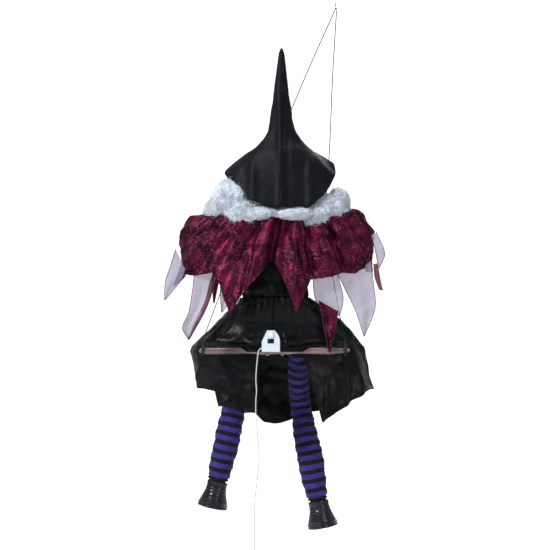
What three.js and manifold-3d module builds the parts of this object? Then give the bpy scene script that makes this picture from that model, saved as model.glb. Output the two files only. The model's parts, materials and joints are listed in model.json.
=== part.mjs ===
// Hanging animated witch on a swing bar. Millimetres, +Z up; the witch faces +Y and her back faces -Y.
// The origin is the centre of the string's top loop, which hangs on a hook.
import * as THREE from 'three';
import { mergeVertices } from 'three/addons/utils/BufferGeometryUtils.js';
import Module from 'manifold-3d';

const wasm = await Module();
wasm.setup();

// ---------------------------------------------------------------- driving dimensions
const GAP = 0.3;                    // clearance between touching pieces
const FIGURE_X = -115;              // body centre, left of the hook
const FIGURE_Y = -38;               // puts the centre of mass under the hook
const ROPE_R = 0.9;                 // string radius
const BAR_Y = -34;
const BAR_Z = -652;
const BAR_LEFT = -143;
const BAR_RIGHT = 141;
const BAR_R = 7.5;
const BAR_SEAT_Z = -654.4;          // flat seat cut in the middle of the bar
const HIP_Z = -618;
const HIP_X = 44;
const THIGH_LENGTH = 150;
const KNEE_DROP = { left: 93, right: 127 };
const KNEE_X = { left: -66, right: 46 };
const SHIN_LENGTH = 200;
const SHIN_SPLAY = { left: 12.5, right: -10.6 };   // degrees outward
const KNEE_SETBACK = 16;            // stocking ends stop short of the knee
const CORE_R = 7;
const CRANK_Z = -588;
const CRANK_R = 5.5;
const CRANK_REST_Y = 5.02;          // how far the crank pins stand forward and back at rest
const GEAR_TEETH = 28;
const GEAR_MODULE = 1;
const HOUSING = { x: 23, back: -22, front: 34, bottom: -654, top: -546, wall: 2 };
const LEAD_R = 1;

const SIDES = [['left', -1], ['right', 1]];
const rad = THREE.MathUtils.degToRad;
const v = (x, y, z) => new THREE.Vector3(x, y, z);
const mix = THREE.MathUtils.lerp;

// ---------------------------------------------------------------- scene and materials
const witch = new THREE.Group();
const figure = new THREE.Group();
figure.position.set(FIGURE_X, FIGURE_Y, 0);
witch.add(figure);

const finish = (color, roughness, metalness = 0) => ({ color, roughness, metalness });
const STRING = finish(0x32323a, 0.8);
const BRANCH = finish(0x6e555a, 0.35);
const WHITE = finish(0xe1ebf5, 0.4);
const DARK = finish(0x14181c, 0.5);
const SKIN = finish(0x9aa886, 0.6);
const FELT = finish(0x14161c, 0.95);
const HAIR = finish(0xbec8d7, 0.95);
const LAME = finish(0x6a1a38, 0.5, 0.2);
const SATIN = finish(0x12151a, 0.45);
const ORGANZA = finish(0xb4afcd, 0.6);
const KNIT = finish(0x443796, 0.9);
const BOOT = finish(0x282f3e, 0.2);
const STEEL = finish(0x9a9da2, 0.35, 0.9);
const GREY = finish(0x6c7076, 0.6);
const BOARD = finish(0x2c6a3c, 0.6);

function add(name, geometry, look, parent = figure) {
  const mesh = new THREE.Mesh(geometry, new THREE.MeshStandardMaterial(look));
  mesh.name = name;
  parent.add(mesh);
  return mesh;
}

// ---------------------------------------------------------------- solids
function fromTriangles(points, faces) {
  const geometry = new THREE.BufferGeometry();
  const places = points.flatMap((p) => [p.x, p.y, p.z]);
  geometry.setAttribute('position', new THREE.Float32BufferAttribute(places, 3));
  let volume = 0;
  for (const [a, b, c] of faces) {
    volume += points[a].dot(v(0, 0, 0).crossVectors(points[b], points[c]));
  }
  const outward = volume > 0 ? faces : faces.map(([a, b, c]) => [a, c, b]);
  geometry.setIndex(outward.flat());
  return geometry;
}

// A closed solid between two grids of points that share their edges: outer[i][j] and inner[i][j].
// With round set, i runs around a closed loop.
function shell(outer, inner, round = false) {
  const nu = outer.length;
  const nv = outer[0].length;
  const points = [...outer.flat(), ...inner.flat()];
  const at = (side, i, j) => side * nu * nv + (i % nu) * nv + j;
  const faces = [];
  const quad = (a, b, c, d) => faces.push([a, b, c], [a, c, d]);
  const steps = round ? nu : nu - 1;
  for (let i = 0; i < steps; i++) {
    for (let j = 0; j < nv - 1; j++) {
      quad(at(0, i, j), at(0, i + 1, j), at(0, i + 1, j + 1), at(0, i, j + 1));
      quad(at(1, i, j), at(1, i, j + 1), at(1, i + 1, j + 1), at(1, i + 1, j));
    }
    quad(at(0, i, 0), at(1, i, 0), at(1, i + 1, 0), at(0, i + 1, 0));
    quad(at(0, i, nv - 1), at(0, i + 1, nv - 1), at(1, i + 1, nv - 1), at(1, i, nv - 1));
  }
  if (!round) {
    for (let j = 0; j < nv - 1; j++) {
      quad(at(0, 0, j), at(0, 0, j + 1), at(1, 0, j + 1), at(1, 0, j));
      quad(at(0, nu - 1, j), at(1, nu - 1, j), at(1, nu - 1, j + 1), at(0, nu - 1, j + 1));
    }
  }
  return fromTriangles(points, faces);
}

// A cloth of even thickness around the surface point(u, v), with u and v from 0 to 1.
function sheet(point, nu, nv, thickness, round = false) {
  const columns = round ? nu : nu + 1;
  const grid = (shift) => Array.from({ length: columns }, (_, i) => Array.from({ length: nv + 1 }, (_, j) => {
    const u = i / nu;
    const w = j / nv;
    const e = 0.002;
    const uLow = round ? u - e : Math.max(u - e, 0);
    const uHigh = round ? u + e : Math.min(u + e, 1);
    const du = point(uHigh, w).sub(point(uLow, w));
    const dv = point(u, Math.min(w + e, 1)).sub(point(u, Math.max(w - e, 0)));
    const normal = v(0, 0, 0).crossVectors(du, dv).normalize();
    return point(u, w).addScaledVector(normal, shift);
  }));
  return shell(grid(thickness / 2), grid(-thickness / 2), round);
}

// A closed solid lofted through rings of points, with flat or pointed ends.
function loft(rings) {
  const n = rings[0].length;
  const points = rings.flat();
  const faces = [];
  for (let i = 0; i < rings.length - 1; i++) {
    for (let j = 0; j < n; j++) {
      const a = i * n + j;
      const b = i * n + (j + 1) % n;
      faces.push([a, b, b + n], [a, b + n, a + n]);
    }
  }
  const cap = (first, flip) => {
    const centre = points.length;
    const ring = points.slice(first, first + n);
    points.push(ring.reduce((sum, p) => sum.add(p), v(0, 0, 0)).divideScalar(n));
    for (let j = 0; j < n; j++) {
      const pair = [first + j, first + (j + 1) % n];
      faces.push(flip ? [centre, pair[1], pair[0]] : [centre, pair[0], pair[1]]);
    }
  };
  cap(0, true);
  cap((rings.length - 1) * n, false);
  return fromTriangles(points, faces);
}

// Rings along a path: sizes[i] is [half width along ref, half height], ref keeps the section upright.
function ringsAlong(path, sizes, sides, ref) {
  return path.map((p, i) => {
    const ahead = path[Math.min(i + 1, path.length - 1)];
    const behind = path[Math.max(i - 1, 0)];
    const along = ahead.clone().sub(behind).normalize();
    const across = ref.clone().addScaledVector(along, -ref.dot(along)).normalize();
    const up = v(0, 0, 0).crossVectors(along, across);
    const [a, b] = [sizes[i]].flat().length === 2 ? sizes[i] : [sizes[i], sizes[i]];
    return Array.from({ length: sides }, (_, k) => {
      const angle = ((k + 0.5) / sides) * 2 * Math.PI;
      return p.clone().addScaledVector(across, a * Math.cos(angle)).addScaledVector(up, b * Math.sin(angle));
    });
  });
}

const sweep = (path, sizes, sides = 12, ref = v(1, 0, 0)) => loft(ringsAlong(path, sizes, sides, ref));

function sleeveTube(path, outerR, innerR, sides = 14, ref = v(1, 0, 0)) {
  const turn = (rings) => rings[0].map((_, k) => rings.map((ring) => ring[k]));
  const outer = ringsAlong(path, outerR, sides, ref);
  const inner = ringsAlong(path, innerR, sides, ref);
  return shell(turn(outer), turn(inner), true);
}

// A box given by its lowest and highest corners.
function block(x0, x1, y0, y1, z0, z1) {
  const geometry = new THREE.BoxGeometry(x1 - x0, y1 - y0, z1 - z0);
  return geometry.translate((x0 + x1) / 2, (y0 + y1) / 2, (z0 + z1) / 2);
}

// A cylinder between two points.
function rod(a, b, radius, sides = 12) {
  const geometry = new THREE.CylinderGeometry(radius, radius, a.distanceTo(b), sides);
  const along = b.clone().sub(a).normalize();
  geometry.applyQuaternion(new THREE.Quaternion().setFromUnitVectors(v(0, 1, 0), along));
  const middle = a.clone().add(b).multiplyScalar(0.5);
  return geometry.translate(middle.x, middle.y, middle.z);
}

function ellipsoid(centre, radii, around = 20, down = 12) {
  const geometry = new THREE.SphereGeometry(1, around, down).rotateX(Math.PI / 2);
  return geometry.scale(...radii).translate(centre.x, centre.y, centre.z);
}

// A cord through hand-set points, as a plain tube.
function cord(points, radius, steps, sides = 8) {
  const outline = Array.from({ length: sides }, (_, k) => {
    const angle = (k / sides) * 2 * Math.PI;
    return new THREE.Vector2(radius * Math.cos(angle), radius * Math.sin(angle));
  });
  const path = new THREE.CatmullRomCurve3(points, false, 'centripetal');
  const section = new THREE.Shape(outline);
  return new THREE.ExtrudeGeometry(section, { extrudePath: path, steps, bevelEnabled: false });
}

// ---------------------------------------------------------------- joining and cutting
function toManifold(source) {
  const bare = new THREE.BufferGeometry();
  bare.setAttribute('position', source.getAttribute('position').clone());
  bare.setIndex(source.getIndex());
  const merged = mergeVertices(bare, 1e-4);
  return new wasm.Manifold(new wasm.Mesh({
    numProp: 3,
    vertProperties: new Float32Array(merged.getAttribute('position').array),
    triVerts: new Uint32Array(merged.getIndex().array),
  }));
}

function toGeometry(solid) {
  const largest = solid.decompose().sort((a, b) => b.volume() - a.volume())[0];
  const mesh = largest.getMesh();
  const geometry = new THREE.BufferGeometry();
  geometry.setAttribute('position', new THREE.Float32BufferAttribute(mesh.vertProperties, 3));
  geometry.setIndex(Array.from(mesh.triVerts));
  return geometry;
}

function join(...geometries) {
  return toGeometry(geometries.map(toManifold).reduce((sum, part) => sum.add(part)));
}

function cut(body, ...tools) {
  return toGeometry(tools.map(toManifold).reduce((rest, tool) => rest.subtract(tool), toManifold(body)));
}

function keep(body, region) {
  return toGeometry(toManifold(body).intersect(toManifold(region)));
}

// ---------------------------------------------------------------- string and swing bar
const hook = v(-FIGURE_X, -FIGURE_Y, 0);          // the loop's centre in the figure's own frame
const HANDS = { left: v(-70, 112, -435), right: v(97, 112, -435) };
const BAR_ENDS = { left: v(-135, BAR_Y, BAR_Z), right: v(132, BAR_Y, BAR_Z) };

function stringLoop() {
  const ring = new THREE.TorusGeometry(3.2, ROPE_R, 6, 16).rotateY(Math.PI / 2);
  add('string_loop', ring, STRING, witch);
}

function loopKnot() {
  add('loop_knot', ellipsoid(hook.clone().add(v(0, 0, -7.2)), [3.2, 2.4, 2.4], 10, 8), STRING);
}

function ropePath(side, sign) {
  const hand = HANDS[side];
  const end = BAR_ENDS[side];
  return [
    hook.clone().add(v(sign * 1.6, 0, -10.2)),
    hook.clone().lerp(hand, 0.3),
    hook.clone().lerp(hand, 0.65),
    hand.clone().add(v(sign * -2, 0, 22)),
    hand.clone(),
    hand.clone().add(v(sign * 3, -6, -20)),
    hand.clone().lerp(end, 0.5),
    end.clone().add(v(sign * -2, 3, 22)),
    end.clone().add(v(0, 0, BAR_R + 1.8)),
  ];
}

function ropeWithKnot(side, sign) {
  const end = BAR_ENDS[side];
  const knot = new THREE.TorusGeometry(BAR_R + 1.5, 1.1, 6, 16);
  knot.rotateY(Math.PI / 2).translate(end.x, end.y, end.z);
  const line = cord(ropePath(side, sign), ROPE_R, 18);
  const lump = ellipsoid(end.clone().add(v(0, 0, BAR_R + 3)), [2.6, 2.2, 2.2], 10, 8);
  add(`rope_${side}`, join(line, lump, knot), STRING);
}

const BAR_SCREW_X = 14;

function perchBar() {
  const steps = 16;
  const path = [];
  const sizes = [];
  for (let i = 0; i <= steps; i++) {
    const t = i / steps;
    const x = mix(BAR_LEFT, BAR_RIGHT, t);
    const roundedEnd = Math.sqrt(1 - (2 * t - 1) ** 16);
    const knobbly = 6.3 + 0.5 * Math.sin(t * 17) + 0.3 * Math.sin(t * 31 + 1);
    path.push(v(x, BAR_Y, BAR_Z));
    sizes.push(i === 0 || i === steps ? 2.5 : knobbly * roundedEnd);
  }
  const branch = sweep(path, sizes, 10, v(0, 1, 0));
  const seat = block(-48, 48, BAR_Y - 20, BAR_Y + 20, BAR_SEAT_Z, BAR_Z + 20);
  const holes = SIDES.map(([, sign]) => {
    const x = sign * BAR_SCREW_X;
    return rod(v(x, BAR_Y, BAR_Z - 20), v(x, BAR_Y, BAR_Z + 20), 1.9);
  });
  add('perch_bar', cut(branch, seat, ...holes), BRANCH);
}

function barScrew(side, sign) {
  const x = sign * BAR_SCREW_X;
  const head = rod(v(x, BAR_Y, BAR_Z - 9.4), v(x, BAR_Y, BAR_Z - 7.4), 3.2, 12);
  const shank = rod(v(x, BAR_Y, BAR_Z - 8), v(x, BAR_Y, BAR_SEAT_Z - 0.1), 1.5, 12);
  add(`bar_screw_${side}`, join(head, shank), STEEL);
}

// ---------------------------------------------------------------- pelvis housing
const { x: HX, back: HB, front: HF, bottom: HZ0, top: HZ1, wall: HW } = HOUSING;
const HOUSING_SCREWS = [v(0, 0, HZ0 + 7), v(-16, 0, HZ1 - 7)];

function pelvisHousing() {
  const outside = block(-HX, HX, HB, HF, HZ0, HZ1);
  const inside = block(-HX + HW, HX - HW, HB + HW, HF - HW, HZ0 + HW, HZ1 - HW);
  const hipBore = rod(v(-60, 0, HIP_Z), v(60, 0, HIP_Z), 4.5);
  const crankBore = rod(v(-60, 0, CRANK_Z), v(60, 0, CRANK_Z), 2.3);
  const neckHole = rod(v(0, 10, HZ1 - 10), v(0, 10, HZ1 + 10), 4);
  const ribs = [-6.2, 7.2].map((x) => block(x, x + 2, HB + 1, -0.2, CRANK_Z - 6, CRANK_Z + 6));
  const backShell = cut(outside, inside, hipBore, neckHole);
  const backRegion = block(-100, 100, -100, -GAP / 2, -700, -500);
  const frontRegion = block(-100, 100, GAP / 2, 100, -700, -500);
  const boss = (p, y0, y1) => block(p.x - 4, p.x + 4, y0, y1, p.z - 4.5, p.z + 4.5);
  const screwBosses = HOUSING_SCREWS.map((p) => boss(p, HB + 1, -0.2));
  const screwBores = HOUSING_SCREWS.map((p) => rod(v(p.x, -60, p.z), v(p.x, 60, p.z), 1.8));
  const backHalf = cut(keep(join(backShell, ...ribs, ...screwBosses), backRegion), crankBore, ...screwBores);
  add('pelvis_back', backHalf, DARK);
  const frontBosses = HOUSING_SCREWS.map((p) => boss(p, 0.2, HF - 1));
  const sockets = HOUSING_SCREWS.map((p) => rod(v(p.x, -60, p.z), v(p.x, 14, p.z), 1.8));
  const frontHalf = cut(keep(join(backShell, ...frontBosses), frontRegion), ...sockets);
  add('pelvis_front', frontHalf, DARK);
}

function housingScrews() {
  HOUSING_SCREWS.forEach((p, i) => {
    const head = rod(v(p.x, HB - 1.5, p.z), v(p.x, HB - GAP, p.z), 2.8, 12);
    const shank = rod(v(p.x, HB - 1, p.z), v(p.x, 12, p.z), 1.4, 12);
    add(`housing_screw_${['lower', 'upper'][i]}`, join(head, shank), STEEL);
  });
}

// ---------------------------------------------------------------- drive: motor, worm, gear, crank
const WORM_Y = GEAR_TEETH * GEAR_MODULE / 2 + 3.6;
const GEAR_X = 2.5;

function crankGear() {
  const pitchR = GEAR_TEETH * GEAR_MODULE / 2;
  const [root, crest] = [pitchR - 1.1, pitchR + 0.7];
  const corners = [[-0.3, root], [-0.14, crest], [0.14, crest], [0.3, root]];
  const outline = Array.from({ length: GEAR_TEETH }, (_, i) => corners.map(([offset, radius]) => {
    const angle = ((i + offset) / GEAR_TEETH) * 2 * Math.PI;
    return new THREE.Vector2(radius * Math.cos(angle), radius * Math.sin(angle));
  })).flat();
  const wheel = new THREE.ExtrudeGeometry(new THREE.Shape(outline), { depth: 4, bevelEnabled: false });
  wheel.rotateY(Math.PI / 2).translate(GEAR_X - 2, 0, CRANK_Z);
  const bore = rod(v(-10, 0, CRANK_Z), v(10, 0, CRANK_Z), 2.3);
  add('crank_gear', cut(wheel, bore), WHITE);
}

const DISC_FACES = [-9.2, 10];      // inner faces of the two crank discs

function crankShaft() {
  const shaft = rod(v(-9.5, 0, CRANK_Z), v(10.2, 0, CRANK_Z), 2, 16);
  const drop = Math.sqrt(CRANK_R ** 2 - CRANK_REST_Y ** 2);
  const pieces = SIDES.flatMap(([, sign]) => {
    const face = DISC_FACES[sign < 0 ? 0 : 1];
    const pin = v(0, sign * CRANK_REST_Y, CRANK_Z - sign * drop);
    const disc = rod(v(face, 0, CRANK_Z), v(face + sign * 1.4, 0, CRANK_Z), 8.5, 24);
    const crankPin = rod(pin.clone().setX(face), pin.clone().setX(sign * 12), 1.4, 12);
    return [disc, crankPin];
  });
  add('crank_shaft', join(shaft, ...pieces), STEEL);
}

function wormThread() {
  const turns = 4;
  const perTurn = 8;
  const pitch = Math.PI * GEAR_MODULE;
  const bottom = CRANK_Z - (turns / 2) * pitch;   // a gap of the thread faces the middle tooth
  const rings = [];
  for (let i = 0; i <= turns * perTurn; i++) {
    const angle = (i / perTurn) * 2 * Math.PI + Math.PI / 2;
    const z = bottom + (i / perTurn) * pitch;
    const corner = (r, dz) => v(GEAR_X + r * Math.cos(angle), WORM_Y + r * Math.sin(angle), z + dz);
    rings.push([corner(2, -0.6), corner(4.2, -0.3), corner(4.2, 0.3), corner(2, 0.6)]);
  }
  return loft(rings);
}

const MOTOR_BOTTOM = CRANK_Z + 15;

function wormAndMotor() {
  const spindle = rod(v(GEAR_X, WORM_Y, CRANK_Z - 13), v(GEAR_X, WORM_Y, MOTOR_BOTTOM - GAP), 2.4, 16);
  add('worm', join(spindle, wormThread()), STEEL);
  const can = rod(v(GEAR_X, WORM_Y, MOTOR_BOTTOM), v(GEAR_X, WORM_Y, HZ1 - HW - 1), 9.8, 24);
  add('motor', can, GREY);
}

// ---------------------------------------------------------------- control box
const BOX = { left: -24.4, right: 9.4, back: -48, front: -24, bottom: -654, shoulder: -632, top: -614 };
const BUTTON = { x: -7.5, z: -621, w: 8.6, h: 11 };
const SWITCH = { x: -7.5, z: -634, w: 12.4, h: 9 };

function controlBox() {
  const outline = new THREE.Shape();
  outline.moveTo(BOX.left, BOX.bottom);
  outline.lineTo(BOX.right, BOX.bottom);
  outline.lineTo(BOX.right, BOX.shoulder);
  outline.quadraticCurveTo(BOX.right - 1, BOX.shoulder + 9, -0.8, BOX.top);
  outline.lineTo(-14.5, BOX.top);
  outline.lineTo(BOX.left, BOX.shoulder - 3);
  const slab = (y0, y1, scale = 1) => {
    const settings = { depth: y1 - y0, bevelEnabled: false, curveSegments: 6 };
    const body = new THREE.ExtrudeGeometry(outline, settings);
    body.rotateX(Math.PI / 2).translate(0, y1, 0);
    const centre = [(BOX.left + BOX.right) / 2, (BOX.bottom + BOX.top) / 2];
    body.translate(-centre[0], 0, -centre[1]).scale(scale, 1, scale).translate(centre[0], 0, centre[1]);
    const bare = new THREE.BufferGeometry().copy(body);
    return mergeVertices(bare.deleteAttribute('uv').deleteAttribute('normal'));
  };
  const tray = cut(slab(BOX.back + 5, BOX.front), slab(BOX.back, BOX.front - 2, 0.88));
  const leadHole = rod(v(BOX.left - 5, -40, BOX.bottom + 6), v(BOX.left + 5, -40, BOX.bottom + 6), 2);
  add('control_box', cut(tray, leadHole), WHITE);
  const cover = slab(BOX.back, BOX.back + 5 - GAP);
  const hollow = slab(BOX.back + 2, BOX.back + 8, 0.88);
  const buttonHole = block(BUTTON.x - BUTTON.w / 2, BUTTON.x + BUTTON.w / 2, -60, -30,
    BUTTON.z - BUTTON.h / 2, BUTTON.z + BUTTON.h / 2);
  const switchHole = block(SWITCH.x - SWITCH.w / 2, SWITCH.x + SWITCH.w / 2, -60, -30,
    SWITCH.z - SWITCH.h / 2, SWITCH.z + SWITCH.h / 2);
  add('control_cover', cut(cover, hollow, buttonHole, switchHole), WHITE);
}

function boxButton() {
  const [w, h] = [BUTTON.w / 2 - GAP, BUTTON.h / 2 - GAP];
  const [back, front] = [BOX.back - 2.5, BOX.back + 2.7];
  const cap = block(BUTTON.x - w, BUTTON.x + w, back, front, BUTTON.z - h, BUTTON.z + h);
  add('box_button', cap, WHITE);
}

function slideSwitch() {
  const [back, front] = [BOX.back - 0.5, BOX.back + 3];
  const lever = block(SWITCH.x - 5.4, SWITCH.x - 1, back, front, SWITCH.z - 3.6, SWITCH.z + 3.6);
  add('slide_switch', lever, DARK);
}

function circuitBoard() {
  const [back, front] = [-36, -34.4];
  const board = block(BOX.left + 4, BOX.right - 4, back, front, BOX.bottom + 4, BOX.shoulder - 2);
  const caseX = [SWITCH.x - 5.8, SWITCH.x + 5.8];
  const switchCase = block(...caseX, BOX.back + 3.4, back + 1, SWITCH.z - 4, SWITCH.z + 1.6);
  add('circuit_board', join(board, switchCase), BOARD);
}

// ---------------------------------------------------------------- torso with battery case and speaker
const TORSO = { x: 45, y: 28, waist: 36, chest: 43, collar: 24, bottom: -545.4, top: -440, wall: 2.5 };

function torso() {
  const rise = TORSO.top - TORSO.bottom;
  const profile = (inset) => [
    [0, inset],
    [TORSO.waist - inset, inset],
    [TORSO.x - inset, rise * 0.5],
    [TORSO.chest - inset, rise * 0.8],
    [TORSO.collar - inset, rise - inset],
    [0, rise - inset],
  ].map((place) => new THREE.Vector2(...place));
  const form = (inset) => new THREE.LatheGeometry(profile(inset), 28).rotateX(Math.PI / 2)
    .scale(1, TORSO.y / TORSO.x, 1).translate(0, 0, TORSO.bottom);
  const neckHole = rod(v(0, 0, TORSO.top - 10), v(0, 0, TORSO.top + 10), 11.5, 24);
  const floorHole = rod(v(0, 10, TORSO.bottom - 10), v(0, 10, TORSO.bottom + 10), 4);
  const whole = cut(form(0), form(TORSO.wall), neckHole, floorHole);
  add('torso_back', keep(whole, block(-100, 100, -100, -GAP / 2, -600, -400)), DARK);
  add('torso_front', keep(whole, block(-100, 100, GAP / 2, 100, -600, -400)), DARK);
}

function insideTorso() {
  const box = block(-28, 28, -13, 6, -520, -478);
  const slots = block(-26, 26, -15, 4, -518, -480);
  add('battery_case', cut(box, slots), DARK);
  [-1, 1].forEach((sign, i) => {
    const z = -499 + sign * 9;
    add(`battery_cell_${i + 1}`, rod(v(-25.2, -4, z), v(25.2, -4, z), 7.2, 16), STEEL);
  });
  add('speaker', rod(v(0, 8, -500), v(0, 20, -500), 15, 24), GREY);
}

function neck() {
  add('neck_post', rod(v(0, 0, -462), v(0, 0, -395), 11, 20), DARK);
}

// ---------------------------------------------------------------- legs
const kneeOf = {};
for (const [side, sign] of SIDES) {
  const drop = KNEE_DROP[side];
  const outward = KNEE_X[side] - sign * HIP_X;
  const forward = Math.sqrt(THIGH_LENGTH ** 2 - drop ** 2 - outward ** 2);
  kneeOf[side] = v(KNEE_X[side], forward, HIP_Z - drop);
}
const SLOT = { near: 22.5, far: 37.5, width: 3.2 };   // crank slot along the hip lever

// The shin's own frame: the knee axis is its X, and the shin hangs along its -Z.
const kneeTurn = (side) => new THREE.Matrix4().makeRotationY(rad(SHIN_SPLAY[side])).setPosition(kneeOf[side]);

function thighCore(side, sign) {
  const hip = v(sign * HIP_X, 0, HIP_Z);
  const knee = kneeOf[side];
  const along = knee.clone().sub(hip).normalize();
  const tube = rod(hip.clone().addScaledVector(along, -3), knee.clone().addScaledVector(along, -14), CORE_R);
  const shaft = rod(v(sign * 12.5, 0, HIP_Z), v(sign * (HIP_X + 3), 0, HIP_Z), 4);
  const lean = Math.asin(CRANK_REST_Y / (CRANK_Z - HIP_Z));
  const x0 = sign * 14;
  const lever = block(-1.5, 1.5, -4, 4, 0, SLOT.far + 3);
  const slot = block(-3, 3, -SLOT.width / 2, SLOT.width / 2, SLOT.near, SLOT.far);
  const arm = cut(lever, slot).rotateX(-sign * lean).translate(x0, 0, HIP_Z);
  const turn = kneeTurn(side);
  const ears = [-6.2, 6.2].flatMap((x) => {
    const eye = rod(v(x - 1.6, 0, 0), v(x + 1.6, 0, 0), 6.5).applyMatrix4(turn);
    const root = knee.clone().addScaledVector(along, -17);
    const tip = v(x, 0, 0).applyMatrix4(turn);
    const start = root.clone().add(tip).sub(knee);
    const across = v(1, 0, 0).transformDirection(turn);
    return [eye, sweep([start, tip.clone().addScaledVector(along, -2)], [[2.2, 7], [2.2, 7]], 4, across)];
  });
  const pinHole = rod(v(-12, 0, 0), v(12, 0, 0), 2.4).applyMatrix4(turn);
  add(`thigh_core_${side}`, cut(join(tube, shaft, arm, ...ears), pinHole), GREY);
  add(`knee_pin_${side}`, rod(v(-9, 0, 0), v(9, 0, 0), 2).applyMatrix4(turn), STEEL);
}

function thighStocking(side, sign) {
  const hip = v(sign * HIP_X, 0, HIP_Z);
  const knee = kneeOf[side];
  const length = THIGH_LENGTH - KNEE_SETBACK;
  const stops = [8, 30, 60, 95, length - 8, length];
  const path = stops.map((s) => hip.clone().lerp(knee, s / THIGH_LENGTH));
  const inner = stops.map(() => CORE_R + 1);
  inner[5] = 10.4;
  add(`thigh_stocking_${side}`, sleeveTube(path, [17, 19, 20, 20, 17, 15], inner), KNIT);
}

const BOOT_HEIGHT = 49;

function shin(side) {
  const frame = new THREE.Group();
  frame.applyMatrix4(kneeTurn(side));
  figure.add(frame);
  const eye = rod(v(-3.2, 0, 0), v(3.2, 0, 0), 6.2);
  const tongue = block(-3.2, 3.2, -5, 5, -15, 0);
  const tube = rod(v(0, 0, -13), v(0, 0, -SHIN_LENGTH - 12), CORE_R);
  const pinHole = rod(v(-12, 0, 0), v(12, 0, 0), 2.4);
  add(`shin_core_${side}`, cut(join(eye, tongue, tube), pinHole), GREY, frame);
  const stops = [KNEE_SETBACK, 26, 55, 90, 130, 170, SHIN_LENGTH - 6];
  const path = stops.map((s) => v(0, 0, -s));
  const inner = stops.map(() => CORE_R + 1);
  add(`shin_stocking_${side}`, sleeveTube(path, [15, 19, 22, 24, 24, 22.5, 19], inner), KNIT, frame);
  boot(side, frame);
}

function boot(side, frame) {
  const sections = [
    [2, 18.5, 18.5, 0], [-8, 19, 20, 1], [-20, 21, 26, 6], [-32, 25, 37, 15], [-41, 28, 44, 21],
    [-BOOT_HEIGHT, 28.5, 45, 21],
  ];
  const rings = sections.map(([z, halfX, halfY, y]) => Array.from({ length: 18 }, (_, k) => {
    const angle = (k / 18) * 2 * Math.PI;
    return v(halfX * Math.cos(angle), y + halfY * Math.sin(angle), -SHIN_LENGTH + z);
  }));
  const socket = rod(v(0, 0, -SHIN_LENGTH + 10), v(0, 0, -SHIN_LENGTH - 12.5), CORE_R + GAP);
  add(`boot_${side}`, cut(loft(rings), socket), BOOT, frame);
}

// ---------------------------------------------------------------- head, hat and hair
const HEAD = v(5, 6, -350);

function headForm(grow = 0) {
  const skull = ellipsoid(HEAD, [44 + grow, 47 + grow, 60 + grow], 16, 10);
  const chin = ellipsoid(HEAD.clone().add(v(0, 16, -36)), [25 + grow, 26 + grow, 28 + grow], 10, 6);
  return join(skull, chin);
}

function head() {
  const hollow = ellipsoid(HEAD, [38, 41, 54], 14, 8);
  const neckHole = rod(v(0, 0, -440), v(0, 0, -380), 11.4, 20);
  add('head_shell', cut(headForm(), hollow, neckHole), SKIN);
}

const HAT_T = 2;
const HAT_STOPS = [
  // height, centre x, half width, half depth
  [-90, 12.6, 3, 3], [-120, 12.4, 7, 7], [-181, 12, 15, 15], [-221, 13, 21, 21], [-255, 14, 31, 30],
  [-280, 13, 44, 42], [-298, 11, 54, 52],
];

function hatPoint(u, w) {
  const angle = u * 2 * Math.PI;
  const [c, s] = [Math.cos(angle), Math.sin(angle)];
  const coneShare = 0.7;
  if (w < coneShare) {
    const place = (w / coneShare) * (HAT_STOPS.length - 1);
    const i = Math.min(Math.floor(place), HAT_STOPS.length - 2);
    const [a, b] = [HAT_STOPS[i], HAT_STOPS[i + 1]];
    const [z, x, halfX, halfY] = a.map((value, k) => mix(value, b[k], place - i));
    return v(x + halfX * c, halfY * s, z);
  }
  const t = (w - coneShare) / (1 - coneShare);
  const back = Math.max(0, -s) ** 1.3;
  const front = Math.max(0, s);
  const reachX = c > 0 ? 106 : 104;
  const reachY = 76 - 2 * front;
  const edgeZ = -323 - 58 * back + 8 * front;
  const dip = 10 * Math.sin(Math.PI * t) * back;
  const z = mix(-298, edgeZ, t ** 1.2) + dip;
  return v(mix(11 + 54 * c, 10 + reachX * c, t), mix(52 * s, reachY * s, t), z);
}

function hatForm(grow = 0) {
  return sheet(hatPoint, 20, 10, HAT_T + 2 * grow, true);
}

function hat() {
  const tip = loft([ringAt(-84, 0.6), ringAt(-88, 2), ringAt(-93.5, 4)]);
  add('hat', join(hatForm(), tip), FELT);
}

function ringAt(z, radius) {
  return Array.from({ length: 20 }, (_, k) => {
    const angle = (k / 20) * 2 * Math.PI;
    return v(12.6 + radius * Math.cos(angle), radius * Math.sin(angle), z);
  });
}

function hair() {
  const puffs = {
    left: [[v(-80, -12, -382), [51, 40, 43]], [v(-26, -62, -390), [40, 13, 13]]],
    right: [[v(97, -12, -388), [44, 38, 37]], [v(38, -62, -390), [38, 13, 13]]],
  };
  const otherSide = {
    left: block(5, 300, -200, 200, -500, -300),
    right: block(-300, 5.6, -200, 200, -500, -300),
  };
  for (const [side] of SIDES) {
    const [[bun, bunRadii], [nape, napeRadii]] = puffs[side];
    const mass = join(ellipsoid(bun, bunRadii, 14, 10), ellipsoid(nape, napeRadii, 10, 6));
    add(`hair_${side}`, cut(mass, headForm(1), hatForm(0.6), capeForm(0.6), otherSide[side]), HAIR);
  }
}

// ---------------------------------------------------------------- arms and hands
function arm(side, sign) {
  const hand = HANDS[side];
  const elbow = v(sign * 156, 34, -446);
  const shoulder = v(sign * 68, 0, -456);
  const wrist = hand.clone().add(v(sign * 17, -16, -2));
  const path = [shoulder, shoulder.clone().lerp(elbow, 0.5), elbow.clone().add(v(-sign * 8, -4, 0)),
    elbow.clone().add(v(-sign * 4, 8, 1)), elbow.clone().lerp(wrist, 0.5), wrist];
  add(`arm_${side}`, sweep(path, [15, 14.5, 14, 14, 13, 11], 12, v(0, 0, 1)), SATIN);
}

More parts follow.
